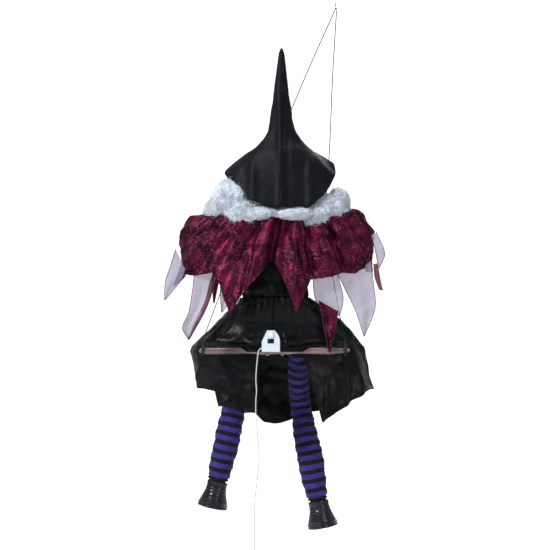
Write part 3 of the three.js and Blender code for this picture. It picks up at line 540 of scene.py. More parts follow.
def bar_knot(side):
    """Three turns of string round the bar's end with a lump where they are tied."""
    end = BAR_ENDS[side]
    turns = [end + mm(mix(-2.4, 2.4, t), 8.4 * math.sin(3 * t * TAU), 8.4 * math.cos(3 * t * TAU))
             for t in steps(72)]
    parts = [tube_part(turns, 0.95 * MM, 8)]
    for tilt in (0.0, 1.1, 2.2):
        loop = [end + mm(2.0 * math.cos(a), 1.2 * math.sin(a) * math.cos(tilt),
                         BAR_R + 3.0 + 1.7 * math.sin(a + tilt)) for a in steps(24, 0, TAU)]
        parts.append(tube_part(loop, 0.85 * MM, 8, Vector((0, 1, 0.2))))
    return piece(f"rope_knot_{side}", join_meshes(parts), "string")


def ropes():
    for side, sign in SIDES:
        points = catmull(rope_route(side, sign), 8)
        rope = cord_curve(f"rope_line_{side}", points, ROPE_RADIUS * MM, "string")
        knot = bar_knot(side)
        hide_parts(f"rope_{side}")
        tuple(points[0])
        curve_length(points)


def top_knot():
    """The overhand knot under the string's top loop."""
    path = [HOOK + mm(0.55 * (math.sin(t) + 2 * math.sin(2 * t)), -0.9 * math.sin(3 * t),
                      -7.2 + 0.42 * (math.cos(t) - 2 * math.cos(2 * t))) for t in steps(60, 0, TAU)]
    knot = piece("overhand_knot", join_meshes([tube_part(path, 0.85 * MM, 8, Vector((0.1, 1, 0)))]), "string")
    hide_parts("loop_knot")


LEAD_RADIUS = 1.0
LEAD_X, LEAD_Y = -38.4, -47       # where the lead hangs above its coiled rest
LEAD_ROUTE = [(-27.5, -44.6, -649), (-29.5, -45.2, -650.5), (-30.8, -46, -654)]
LEAD_ROUTE += [(x, LEAD_Y, z) for x, z in (
    (-33.6, -676), (-35.4, -706), (-34.2, -727), (-35.4, -744), (-35.4, -774), (-32.4, -809), (-29.8, -843),
    (-30.4, -870), (-34.6, -905), (-37.4, -933), (LEAD_X, -964), (LEAD_X, -1000), (LEAD_X, -1029.7),
)]
HANK_TURNS, HANK_PITCH, FOLD_RADIUS = 4, 2.2, 6.0
HANK_TOP, HANK_BOTTOM = -1031.0 - FOLD_RADIUS, -1079.0 + FOLD_RADIUS      # where the straight runs end
TRIGGER_TOP = -1081.8


def hank_folds():
    """Long loops of the lead lying side by side, turning on round folds at the top and bottom."""
    middle, right = LEAD_X + FOLD_RADIUS, LEAD_X + 2 * FOLD_RADIUS
    fold = [(FOLD_RADIUS * math.cos(a), FOLD_RADIUS * math.sin(a)) for a in steps(12, 0, math.pi)[:-1]]
    loop = [(LEAD_X, z) for z in steps(6, HANK_TOP, HANK_BOTTOM)[:-1]]
    loop += [(middle - x, HANK_BOTTOM - z) for x, z in fold]
    loop += [(right, z) for z in steps(6, HANK_BOTTOM, HANK_TOP)[:-1]]
    loop += [(middle + x, HANK_TOP + z) for x, z in fold]
    return [at(x, LEAD_Y + HANK_PITCH * (turn + k / len(loop)), z)
            for turn in range(HANK_TURNS) for k, (x, z) in enumerate(loop)]


def trigger_lead():
    visible = catmull([at(*p) for p in LEAD_ROUTE], 6)
    tail = [at(LEAD_X, LEAD_Y + HANK_PITCH * HANK_TURNS, z) for z in steps(6, HANK_TOP, TRIGGER_TOP)]
    points = visible + hank_folds() + tail
    lead = cord_curve("trigger_lead_cord", points, LEAD_RADIUS * MM, "lead")
    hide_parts("trigger_lead", "lead_hank")
    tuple(points[0])
    curve_length(points)


ropes()
top_knot()
trigger_lead()


# ------------------------------------------------------------------ swing bar
SWIRL_X, SWIRL_ANGLE = 24, 4.4        # the swirl knob's place along the bar and round it
SEAT_Z, SEAT_STEP = -654.4, 8         # the flat seat and how far the bar may rise outside it


def bar_point(u, v):
    x = mix(-142.6, 140.6, v)
    rounded = max(0.0, 1 - (2 * v - 1) ** 16) ** 0.5
    radius = (6.5 + 0.5 * math.sin(v * 17) + 0.3 * math.sin(v * 31 + 1)) * max(0.3, rounded)
    angle = u * TAU
    y, z = math.cos(angle), math.sin(angle)
    radius += 0.45 * ripple(x * 0.4, y * 9, z * 9, 7, 2) + 0.25 * ripple(x * 0.5, y * 20, z * 20, 4, 8)
    across, turn = x - SWIRL_X, angle - SWIRL_ANGLE
    spiral = math.sin(math.hypot(across, turn * 7) * 1.9 + math.atan2(turn, across / 7) * 2)
    radius += bell(across, 6.5) * bell(turn, 0.8) * (0.9 + 0.35 * spiral)
    seat = SEAT_Z + SEAT_STEP * smooth((abs(x) - 50) / 16)
    return at(x, BAR_Y + radius * y, min(BAR_Z + radius * z, seat))


def perch_bar():
    """A glossy cast branch, knobbly along its length, with a swirl knob and a flat seat on top."""
    bar = piece("swing_bar", grid(bar_point, 40, 190, closed=True, ends=True), "branch")
    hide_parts("perch_bar")


# ------------------------------------------------------------------ hat
HAT_STOPS = [
    # height, centre x, half width, half depth
    (-85, 12.6, 1.2, 1.2), (-90, 12.6, 3.4, 3.4), (-96, 12.6, 5.0, 5.0), (-120, 12.5, 8, 8),
    (-150, 12.2, 11.8, 11.8), (-181, 12, 15.4, 15.4), (-221, 12.4, 21.4, 21), (-243, 12.6, 27, 25),
    (-256, 12.4, 34, 32), (-264, 12.2, 41, 38), (-272, 12, 50, 44),
]
CONE_SHARE = 0.58
CONE_FOOT = -272
BRIM_EDGE = [
    # direction in degrees from the right, height of the brim's edge
    (-90, -384), (-60, -383), (-42, -366), (-30, -348), (-16, -330), (0, -318), (15, -300), (30, -292),
    (60, -292), (90, -290), (120, -293), (150, -304), (180, -319), (210, -334), (228, -352), (240, -372),
    (252, -382), (270, -384),
]
BRIM_PLEATS = [
    # place across the back, half width, depth
    (-42, 7, 7.5), (66, 6, 8.0), (88, 6, 5.0), (-58, 8, -5.0), (48, 9, -5.0),
]
BACK_SEAM = [
    # place across the back, half width, height of the ridge or groove beside the seam
    (15, 1.6, 2.4), (9, 5, -5.5), (24, 6, 3.5),
]


def ridges(rows, x):
    return sum(height * bell(x - place, half_width) for place, half_width, height in rows)


def hat_brim(t, angle):
    """The brim from the cone's foot (t 0) to its edge (t 1), drooping behind and lifted at the far right."""
    c, s = math.cos(angle), math.sin(angle)
    degrees = math.degrees(angle)
    edge = table(BRIM_EDGE, degrees - 360 if degrees > 270 else degrees)[0]
    back = max(0.0, -s)
    reach_x = 102 if c > 0 else 106
    x = 12 + mix(50, reach_x, t) * c
    y = mix(44, 75, t ** 0.8) * s
    z = mix(CONE_FOOT, edge, t ** 1.15) + 7 * math.sin(math.pi * t) * back ** 2
    y -= ridges(BRIM_PLEATS, x) * back * smooth(t * 2.0)
    z += (2.2 * math.sin(x * 0.17) + 2.5 * bell(x - 11, 5)) * t * back
    return x, y, z


def hat_point(u, v):
    angle = u * TAU
    c, s = math.cos(angle), math.sin(angle)
    if v < CONE_SHARE:
        z = mix(-84.5, CONE_FOOT, (v / CONE_SHARE) ** 0.9)
        cx, half_x, half_y = table(HAT_STOPS, z)
        x, y = cx + half_x * c, half_y * s
        soft = smooth((-z - 100) / 150)
        dent = soft * (1.8 * ripple(c * 22, s * 22, z, 30, 3) + 0.9 * ripple(c * 40, s * 40, z, 12, 5))
        dent += 2.6 * soft * smooth((-z - 225) / 40) * math.sin(angle * 5 + 0.02 * z + 1)
        x, y = x + dent * c, y + dent * s
    else:
        t = (v - CONE_SHARE) / (1 - CONE_SHARE)
        x, y, z = hat_brim(t, angle)
        join = 2.6 * math.sin(angle * 5 + 0.02 * CONE_FOOT + 1) * (1 - smooth(t * 3))
        x, y = x + join * c, y + join * s
        z += 1.6 * t * ripple(x, y, z, 22, 6)
        y += 1.4 * t * ripple(x, y, z, 12, 9)
    if s < 0:
        y += smooth((-z - 130) / 110) * ridges(BACK_SEAM, x)
    return at(x, y, z)


STITCHES = [
    # from a place behind the hat to another, each stitch laid on the cloth in front of them
    ((3, -80, -349), (17, -80, -348)),
    ((11.5, -80, -348), (11.8, -80, -364)),
    ((11.6, -80, -364), (9, -79, -376)),
]


def hat_and_stitches():
    hat = piece("hat_cloth", grid(hat_point, 128, 96, closed=True), "felt")
    thicken(hat, 1.6 * MM)
    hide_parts("hat")
    stitches = []
    for start, end in STITCHES:
        a, b = surface_on(hat, at(*start)), surface_on(hat, at(*end))
        stitches.append(tube_part([a.lerp(b, t) - mm(0, 0.6 * math.sin(t * math.pi), 0) for t in steps(6)],
                                  0.5 * MM, 6))
    piece("hat_stitches", join_meshes(stitches), "felt", "string")


def surface_on(obj, start):
    """The first point of the object in front of a place, looking along +Y."""
    bpy.context.view_layer.update()
    inverse = obj.matrix_world.inverted()
    origin = inverse @ (start + Vector((0, -0.1, 0)))
    hit, place, _, _ = obj.ray_cast(origin, inverse.to_3x3() @ Vector((0, 1, 0)))
    return (obj.matrix_world @ place) if hit else start


# ------------------------------------------------------------------ hair
def puff(name, lobes, seed):
    """A mass of teased fibre: rounded lobes pushed out in rough clumps and gathered into one mesh."""
    bm = bmesh.new()
    for centre, radii in lobes:
        made = bmesh.ops.create_icosphere(bm, subdivisions=6, radius=1.0)
        for vertex in made["verts"]:
            d = vertex.co.copy()
            clump = 1 + 0.10 * noise.noise(d * 2.2 + Vector((seed, 0, 0)))
            clump += 0.08 * noise.noise(d * 5 + Vector((0, seed, 0)))
            clump += 0.055 * noise.noise(d * 11 + Vector((0, 0, seed))) + 0.04 * noise.noise(d * 24)
            clump += 0.025 * noise.noise(d * 50)
            vertex.co = in_lobe(centre, radii, d * clump)
    data = bpy.data.meshes.new(name)
    bm.to_mesh(data)
    bm.free()
    data.polygons.foreach_set("use_smooth", [True] * len(data.polygons))
    return piece(name, data, "hair")


def in_lobe(centre, radii, d):
    """The place in a rounded lobe that a direction of length 1 would put on its skin."""
    return at(*[middle + radius * reach for middle, radius, reach in zip(centre, radii, d)])


HAIR_LOBES = {
    # centre and radii of each lobe
    "left": [((-80, -20, -370), (38, 38, 40)), ((-106, -18, -391), (27, 28, 27)),
             ((-60, -34, -394), (38, 34, 27)), ((-26, -62, -395), (34, 13, 12)),
             ((-38, -8, -350), (18, 28, 38))],
    "right": [((98, -18, -389), (42, 36, 30)), ((120, -14, -372), (21, 24, 24)),
              ((74, -38, -400), (32, 28, 22)), ((38, -62, -396), (36, 13, 12)),
              ((48, -8, -352), (18, 28, 38))],
}
STRANDS = 1500


def strands(side, seed):
    """Loose fibres over the puff, each a thin bent ribbon of its own."""
    draw = random.Random(seed)
    lobes = HAIR_LOBES[side]
    parts = []
    for _ in range(STRANDS):
        centre, radii = draw.choice(lobes[:3] * 2 + lobes[3:4])
        d = Vector((draw.gauss(0, 1), draw.gauss(0, 1) - 0.5, draw.gauss(0, 1))).normalized()
        turn = Vector((draw.gauss(0, 1), draw.gauss(0, 1), draw.gauss(0, 1))).cross(d).normalized()
        lift = draw.uniform(0.0, 0.13)
        sweep = draw.uniform(0.2, 0.7)
        path = []
        for t in steps(6):
            reach = 1.03 + lift * math.sin(t * math.pi * draw.uniform(0.8, 1.3))
            path.append(in_lobe(centre, radii, (d + turn * (t - 0.5) * sweep).normalized() * reach))
        parts.append(tube_part(path, tapered(0.24, 6, 0.6), 3))
    piece(f"hair_strands_{side}", join_meshes(parts), "hair")


def hair():
    for seed, (side, _) in enumerate(SIDES):
        mass = puff(f"hair_puff_{side}", HAIR_LOBES[side], 3.1 + 7 * seed)
        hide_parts(f"hair_{side}")
        strands(side, 40 + seed)


perch_bar()
hat_and_stitches()
hair()




# ------------------------------------------------------------------ cape
CAPE_STOPS = [
    # share of the way down, height, half width, half depth
    (0.0, -401, 42, 35), (0.16, -399, 80, 46), (0.34, -395, 128, 53), (0.46, -401, 164, 57),
    (0.6, -428, 181, 60), (0.8, -468, 181, 62), (1.0, -505, 178, 62),
]
CAPE_HEM = [
    # place across the back, height of the hem
    (-182, -498), (-175, -507), (-150, -512), (-112, -505), (-101, -532), (-85, -584), (-62, -550),
    (-30, -512), (-9, -484), (2, -488), (20, -530), (40, -581), (56, -545), (68, -519), (100, -514),
    (128, -506), (150, -508), (176, -492),
]
CAPE_FOLDS = [
    # from (x, z) to (x, z), half width and height of each large fold on the back, negative for a valley
    (9, -398, -9, -490, 7, -13), (34, -392, 16, -452, 8, -11), (-4, -400, -54, -560, 13, 12),
    (37, -412, 36, -560, 12, 12), (-30, -425, -72, -486, 8, -11), (60, -415, 72, -500, 8, -12),
    (-60, -410, -150, -478, 12, 8), (-88, -438, -135, -476, 7, -10), (-112, -420, -176, -450, 8, -8),
    (86, -415, 112, -500, 10, 8), (104, -418, 132, -505, 6, -9), (118, -425, 168, -480, 9, 7),
    (136, -415, 180, -448, 6, -9), (-140, -455, -172, -500, 7, 6), (-20, -408, -38, -450, 7, 7),
]


def large_folds(x, z):
    """The large folds that fan out over the back of the cape from its neck."""
    total = 0.0
    for x0, z0, x1, z1, half_width, height in CAPE_FOLDS:
        run_x, run_z = x1 - x0, z1 - z0
        share = ((x - x0) * run_x + (z - z0) * run_z) / (run_x ** 2 + run_z ** 2)
        held = clamp(share)
        away = math.hypot(x - x0 - held * run_x, z - z0 - held * run_z)
        total += height * bell(away, half_width * (0.7 + 0.6 * held))
    return total


def gathers(x, z, count_scale=1.0):
    """Soft uneven folds that fan out from the neck, from -1 in the valleys to 1 on the ridges."""
    fan = 120 * (x - 4) / (-z - 290)
    drift = ripple(x, 0, z * 0.5, 60, 4)
    a = math.sin(fan * 0.27 * count_scale + 2.6 * drift)
    b = math.sin(fan * 0.12 * count_scale + 2.0 * drift + 1.3)
    strength = 0.6 + 0.6 * ripple(x, 0, z, 70, 12)
    return strength * (0.5 * (1 - 2 * abs(a) ** 1.3) + 0.6 * b)


def cape_point(u, v):
    height, half_x, half_y = table(CAPE_STOPS, v)
    opening = mix(70, 160, min(1.0, v * 2.4))
    angle = math.radians(mix(opening, 540 - opening, u))
    c, s = math.cos(angle), math.sin(angle)
    x = 4 + half_x * math.copysign(abs(c) ** 0.8, c)
    y = half_y * math.copysign(abs(s) ** 0.8, s)
    z = height - 30 * max(0.0, s) * max(0.0, 1 - 2 * v)
    if s < 0:
        z += (table(CAPE_HEM, x)[0] + 505) * smooth((v - 0.5) / 0.5)
    around = x if abs(c) < 0.93 else math.copysign(1, c) * (200 + y * 1.2)
    depth = 1.0 + 3.4 * smooth(v * 1.3)
    wrinkles = 2.2 * ripple(x, y, z, 20, 7) + 1.3 * ripple(x, y, z, 8, 3) + 0.6 * ripple(x, y, z, 4, 5)
    push = depth * gathers(around, z) + wrinkles * smooth(v * 2)
    if s < 0:
        push += large_folds(x, z) * smooth(-s * 2.5) * smooth(v * 3)
    shoulder = bell(v - 0.42, 0.14)
    z += shoulder * (2.6 * gathers(around, z, 1.3) + 3.5 * ripple(x, y, z, 24, 3))
    z += 10 * shoulder * bell(x - 145, 26)
    z -= 2.2 * max(0.0, gathers(around, z)) * smooth((v - 0.8) / 0.2)
    return at(x + 0.75 * push * c, y + push * (s if abs(s) > 0.2 else 0.2 * math.copysign(1, s)), z)


def cloth_piece(name, data, slot, look, thickness, nodes=()):
    """A sheet of cloth with its real thickness, cut as large as the cloth that hangs, folds included."""
    cloth = piece(name, data, slot, look)
    thicken(cloth, thickness * MM)
    if nodes:
        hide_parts(*nodes)


def cape():
    data = grid(cape_point, 420, 70)
    cloth_piece("cape_cloth", data, "lame", "lame", 0.7, ["cape"])


# ------------------------------------------------------------------ sheer points and spikes
PANELS = {
    # name: depth, look, look of its rolled edges, left side and right side as (x, z) from the top down
    "sheer_left_outer": (-30, "organza", "edge", [(-186, -462), (-197, -497), (-205, -522), (-207, -556)],
                         [(-167, -498), (-175, -520), (-190, -539), (-205, -557)]),
    "sheer_left_flap": (-27, "edge", None, [(-176, -490), (-182, -508), (-190, -530)],
                        [(-164, -500), (-168, -514), (-188, -532)]),
    "sheer_left_inner": (-34, "organza", "edge",
                         [(-150, -496), (-154, -537), (-162, -582), (-173, -610), (-162, -631)],
                         [(-112, -496), (-115, -529), (-128, -567), (-145, -599), (-160, -631)]),
    "sheer_left_band": (-36, "edge", None, [(-121, -520), (-132, -562), (-150, -597), (-163, -630)],
                        [(-112, -500), (-114, -530), (-126, -570), (-159, -631)]),
    "spike_left": (-40, "lame", "edge_dark", [(-116, -497), (-117, -529), (-115, -563)],
                   [(-99, -497), (-106, -529), (-113, -563)]),
    "sheer_left_small": (-33, "organza", "edge_dark", [(-102, -505), (-102, -548), (-100, -580)],
                         [(-78, -510), (-83, -554), (-98, -580)]),
    "sheer_right_flap": (-26, "organza", "edge", [(181, -436), (187, -460), (194, -495)],
                         [(190, -430), (206, -471), (196, -497)]),
    "sheer_right_strip": (-30, "edge", None, [(184, -490), (187, -516), (195, -538)],
                          [(193, -488), (198, -518), (203, -540)]),
    "sheer_right_outer": (-33, "organza", "edge", [(112, -498), (132, -538), (152, -580), (166, -624)],
                          [(180, -485), (185, -529), (188, -571), (168, -625)]),
    "sheer_right_inner": (-38, "organza", "edge", [(70, -508), (78, -561), (98, -575), (119, -586)],
                          [(115, -502), (128, -552), (126, -570), (121, -587)]),
    "spike_right": (-46, "lame", "edge_dark", [(82, -558), (92, -610), (101.5, -655)],
                    [(118, -578), (113, -614), (104, -656)]),
    "spike_skirt_left": (24, "lame", "edge_dark", [(-113, -640), (-112, -732), (-106, -759)],
                         [(-93, -640), (-94, -732), (-96, -757)]),
}
PANEL_NODES = {"sheer_left_inner": ["sheer_left"], "sheer_right_outer": ["sheer_right"],
               "spike_right": ["skirt_point_right"], "spike_skirt_left": ["skirt_point_left"]}


def along(side, v):
    """The place at a share of the way along a list of points."""
    place = v * (len(side) - 1)
    i = min(int(place), len(side) - 2)
    return side[i].lerp(side[i + 1], place - i)


def panel(name, seed, depth, look, edge, left, right):
    """A hanging point of cloth between two drawn sides, its edges rolled into a thin cord."""
    left_side, right_side = [catmull([Vector((x, 0, z)) for x, z in side], 6) for side in (left, right)]
    swing = 3.0 * min(1.0, abs(right[0][0] - left[0][0]) / 40)

    def point(u, v):
        p = along(left_side, v).lerp(along(right_side, v), u)
        wave = swing * math.sin(u * 7 + v * 2.5 + seed) * (0.4 + 0.6 * v)
        wave += 1.3 * ripple(p.x, depth, p.z, 16, seed) + 0.7 * ripple(p.x, depth, p.z, 7, seed + 5)
        return at(p.x, depth + wave, p.z)

    if edge:
        sides = [[point(u, v) for v in steps(30)] for u in (0, 1)]
        if look == "organza":
            sides.append([point(u, 1) for u in steps(14)])
        rolls = join_meshes([tube_part(path, 0.75 * MM, 6, Vector((0, 1, 0))) for path in sides])
        piece(f"{name}_rolled_edge", rolls, "organza", edge)
    slot, thickness = ("lame", 0.6) if look == "lame" else ("organza", 0.3)
    cloth_piece(name, grid(point, 24, 44), slot, look, thickness,
                PANEL_NODES.get(name, ()))


def panels():
    for seed, (name, (depth, look, edge, left, right)) in enumerate(PANELS.items()):
        panel(name, seed * 1.7, depth, look, edge, left, right)


# ------------------------------------------------------------------ bodice and sleeves
BODICE_STOPS = [
    # height, half width, half depth
    (-424, 15, 14), (-430, 19, 16), (-437, 29, 21), (-442, 37, 25), (-450, 50, 31), (-462, 57, 35),
    (-490, 60, 37), (-530, 62, 38), (-552, 61, 37), (-568, 58, 35),
]


def bodice_point(u, v):
    z = mix(BODICE_STOPS[0][0], BODICE_STOPS[-1][0], v)
    half_x, half_y = table(BODICE_STOPS, z)
    angle = u * TAU
    c, s = math.cos(angle), math.sin(angle)
    fold = 1.5 * math.sin(angle * 11 + 0.03 * z + 2 * ripple(c * 30, s * 30, z, 40, 2)) * smooth(v * 1.4)
    fold += 1.6 * ripple(c * 60, s * 60, z, 14, 6) + 1.2 * math.sin(z * 0.16 + 2 * c) * bell(v - 0.75, 0.2)
    return at((half_x + fold) * c, (half_y + fold) * s, z)


def bodice():
    data = grid(bodice_point, 140, 50, closed=True)
    cloth_piece("bodice_cloth", data, "satin", "satin", 0.6,
                ["bodice"])


def wrist_place(side, sign):
    return Vector(HANDS[side]) + Vector((sign * 17, -16, -2))


def sleeve_path(side, sign):
    shoulder, elbow = Vector((sign * 50, -2, -457)), Vector((sign * 156, 34, -446))
    wrist = wrist_place(side, sign)
    stops = [shoulder, shoulder.lerp(elbow, 0.5), elbow + Vector((-sign * 8, -4, 0)),
             elbow + Vector((-sign * 4, 8, 1)), elbow.lerp(wrist, 0.5), wrist]
    return [at(*p) for p in catmull(stops, 8)]


def sleeve(side, sign):
    path = sleeve_path(side, sign)
    forward = [(path[min(i + 1, len(path) - 1)] - path[max(i - 1, 0)]).normalized() for i in range(len(path))]
    up = Vector((0, 0, 1))
    upward = [(up - d * up.dot(d)).normalized() for d in forward]
    sideways = [d.cross(a) for d, a in zip(forward, upward)]

    def point(u, v):
        a, b = along(upward, v).normalized(), along(sideways, v).normalized()
        angle = u * TAU
        radius = mix(14.6, 11.4, v) + 0.9 * math.sin(v * 42 + 1.6 * math.sin(angle)) * bell(v - 0.5, 0.2)
        radius += 1.0 * ripple(math.cos(angle) * 14, math.sin(angle) * 14, v * 130, 9, 3 + sign)
        radius += 0.8 * math.sin(angle * 6 + v * 4)
        if v > 0.93:
            radius += 1.6 * smooth((v - 0.93) / 0.07) * (1 + 0.3 * math.sin(angle * 9))
        if v < 0.0001 or v > 0.9999:
            radius *= 0.72
        return along(path, v) + (a * math.cos(angle) + b * math.sin(angle)) * radius * MM

    obj = piece(f"sleeve_{side}", grid(point, 64, 96, closed=True, ends=True), "satin")
    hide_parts(f"arm_{side}")


# ------------------------------------------------------------------ skirt
SKIRT_TOP = -553
SKIRT_HEM = [
    # direction in degrees from the right through the front, height of the hem
    (-90, -789), (-68, -787), (-60, -768), (-45, -748), (-22, -731), (0, -728), (22, -729), (45, -745),
    (60, -763), (70, -772), (80, -776), (86, -791), (90, -797), (94, -794), (100, -772), (110, -768),
    (120, -757), (135, -727), (180, -721), (200, -724), (222, -729), (232, -750), (240, -760),
    (252, -769), (270, -769),
]
SKIRT_SIDES = [
    # height, left reach, right reach, front, back
    (-553, 66, 67, 42, -42), (-562, 71, 77, 44, -41), (-572, 84, 100, 62, -39),
    (-598, 108, 129, 108, -32), (-621, 130, 148, 142, -31), (-636, 148, 156, 158, -31),
    (-645, 156, 162, 166, -24.6), (-657, 160, 167, 176, -24.4), (-689, 153, 173, 190, -24.4),
    (-730, 146, 184, 198, -25), (-800, 140, 190, 200, -26),
]
SLIT = [
    # height, left and right edge of the opening for the box, crossed over where the skirt overlaps
    (-553, -1, -14), (-600, -3, -12), (-608, -8, -7), (-616, -28.5, 13.5), (-650, -28.5, 13.5),
    (-668, -30, 55), (-800, -32, 94),
]
SLIT_X = -7.5           # the middle of the opening
SQUARENESS = 0.72


def slit_turn(edge, left, right):
    """The direction in degrees in which an edge of the opening lies on the skirt's outline."""
    share = math.degrees(math.acos((abs(edge) / (right if edge > 0 else left)) ** (1 / SQUARENESS)))
    return -share if edge > 0 else -180 + share


def skirt_point(u, v):
    angle = mix(-89, 269, u)
    for _ in range(3):
        z = mix(SKIRT_TOP, table(SKIRT_HEM, angle)[0], v)
        left, right, front, back = table(SKIRT_SIDES, z)
        slit_left, slit_right = [slit_turn(edge, left, right) for edge in table(SLIT, z)]
        angle = mix(slit_right, 360 + slit_left, u)
    c, s = math.cos(math.radians(angle)), math.sin(math.radians(angle))
    middle = (front + back) / 2
    x = math.copysign(abs(c) ** SQUARENESS, c) * (right if c > 0 else left)
    y = middle + math.copysign(abs(s) ** SQUARENESS, s) * (front - middle)
    drift = 1.3 * ripple(c * 60, s * 60, z * 0.3, 45, 5)
    fold = math.sin(math.radians(angle) * 5.5 + 3.4 * drift)
    fold = 0.8 * (1 - 2 * abs(fold) ** 1.4) + 0.5 * math.sin(math.radians(angle) * 4 + 3 * drift + 1)
    at_edge = min(1.0, 12 * u, 12 * (1 - u))
    room = 1 - 0.86 * bell(z + 655, 26, 4) * smooth((abs(s) - 0.1) / 0.4) if s < 0 else 1.0
    depth = (1.6 + 5.0 * smooth(v)) * room * mix(0.25, 1, at_edge)
    push = depth * fold + room * ((2.2 + 1.2 * v) * ripple(x, y, z, 24, 8) + 0.9 * ripple(x, y, z, 10, 3))
    waist = smooth((z + 612) / 50)
    push += waist * (1.5 * math.sin(x * 0.52 + 3 * drift) + 0.8 * math.sin(x * 0.23 + 2 + 2 * drift))
    if s < 0:
        push += 2.4 * (u - 0.5) * bell(x - SLIT_X, 16) * smooth((z + 612) / 10)
        lit = bell(x - 122 + 0.15 * (z + 655), 11) - 0.7 * bell(x - 98, 8)
        push += 6 * lit * smooth((-z - 668) / 30)
    if s < -0.1:
        push = max(push, -2.0) if z > -700 else push
        beside_box = smooth((abs(x - SLIT_X) - 18) / 10) * smooth((140 - abs(x)) / 30)
        over_seat = smooth((60 - abs(x)) / 18)
        sag = mix(634, 640, over_seat)
        width = 13 if -z < sag else mix(6, 7.5, over_seat)
        bulge = mix(9, 15, over_seat) * bell(-z - sag, width) * beside_box
        push += bulge * (0.85 + 0.15 * math.sin(x * 0.13))
    return at(x + push * c, y + push * s, z + 1.5 * ripple(x, y, z, 18, 2) * v)


def skirt():
    data = grid(skirt_point, 420, 90)
    cloth_piece("skirt_cloth", data, "satin", "satin", 0.5,
                ["skirt"])


cape()
panels()
bodice()
for side_name, side_sign in SIDES:
    sleeve(side_name, side_sign)
skirt()


# ------------------------------------------------------------------ stockings and boots
SPLAY = {"left": 12.5, "right": -10.6}      # degrees that each shin leans outward
SHIN_LENGTH = 200
THIGH_LENGTH = 150
LEG_RADII = [
    # length from the hip, radius
    (6, 12.5), (14, 17), (30, 19), (60, 20), (95, 20.2), (126, 18.8), (142, 19), (150, 19.5), (162, 19.4),
    (176, 20), (205, 22), (240, 24), (280, 24), (310, 22.8), (334, 20.5), (343, 17.8), (348, 16.2),
]
KNEE_BEND = 30              # length above and below the knee over which the leg rounds it
LEG_END = THIGH_LENGTH + SHIN_LENGTH - 2


def shin_axes(side):
    lean = math.radians(SPLAY[side])
    return Vector((math.cos(lean), 0, -math.sin(lean))), Vector((math.sin(lean), 0, math.cos(lean)))


def stocking(side, sign):
    """One long knitted tube over thigh and shin, wrinkled where it bags."""
    hip, knee = HIP[side], KNEE[side]
    shin_x, shin_z = shin_axes(side)
    ankle = knee - shin_z * SHIN_LENGTH * MM
    above = hip.lerp(knee, (THIGH_LENGTH - KNEE_BEND) / THIGH_LENGTH)
    below = knee.lerp(ankle, KNEE_BEND / SHIN_LENGTH)

    def centre(s):
        """The leg's centre line at a length from the hip, rounded at the knee."""
        t = (s - THIGH_LENGTH + KNEE_BEND) / (2 * KNEE_BEND)
        if t <= 0:
            return hip.lerp(knee, s / THIGH_LENGTH)
        if t >= 1:
            return knee.lerp(ankle, (s - THIGH_LENGTH) / SHIN_LENGTH)
        return above * (1 - t) ** 2 + knee * 2 * t * (1 - t) + below * t ** 2

    def point(u, v):
        s = mix(7, LEG_END, v)
        p = centre(s)
        along = (centre(s + 1) - centre(s - 1)).normalized()
        across = (shin_x - along * along.dot(shin_x)).normalized()
        up = along.cross(across)
        angle = u * TAU
        c, d = math.cos(angle), math.sin(angle)
        radius = table(LEG_RADII, s)[0]
        wander = ripple(c * 18, d * 18, s * 0.6, 26, 5 + sign)
        bag = 0.5 + 0.5 * smooth(abs(s - THIGH_LENGTH) / 20 - 0.2)
        rolls = math.sin(s * 0.27 + 3.4 * wander + 1.5 * math.sin(angle + sign))
        radius += bag * (0.8 * rolls + 1.8 * wander)
        radius += 0.3 * math.sin(s * 0.72 + 4 * ripple(c * 20, d * 20, s, 18, 9))
        radius += 0.5 * ripple(c * 20, d * 20, s, 7, 4)
        if s > LEG_END - 10:
            radius += 1.2 * math.sin((s - LEG_END) * 0.9)
        if v < 0.0001 or v > 0.9999:
            radius = 9.5
        return p + (across * c + up * d) * radius * MM

    leg = piece(f"stocking_{side}", grid(point, 96, 330, closed=True, ends=True), "knit", body=None)
    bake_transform(leg)
    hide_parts(f"thigh_stocking_{side}", f"shin_stocking_{side}")


BOOT_SECTIONS = [
    # height under the ankle, half width, half length, forward shift
    (3.0, 17.6, 17.6, 0), (2.2, 19.2, 19.2, 0), (0, 19.6, 19.6, 0.2), (-4, 18.9, 19.4, 0.6),
    (-8, 19, 20, 1), (-14, 19.8, 22.4, 3), (-20, 21, 26, 6), (-27, 23, 32, 11), (-33, 25.2, 37.6, 15.4),
    (-37, 26.6, 41, 18.4), (-39.6, 27, 42.6, 20), (-40, 28.9, 44.6, 20.6), (-42.2, 28.9, 44.8, 20.8),
    (-42.6, 27.9, 43.8, 21), (-44.6, 27.9, 43.8, 21), (-45, 28.6, 44.8, 21), (-48.4, 28.6, 45, 21),
    (-49.2, 28, 44.4, 21),
]

SOLE_Z = -49.3              # where the tread bars lie on the sole


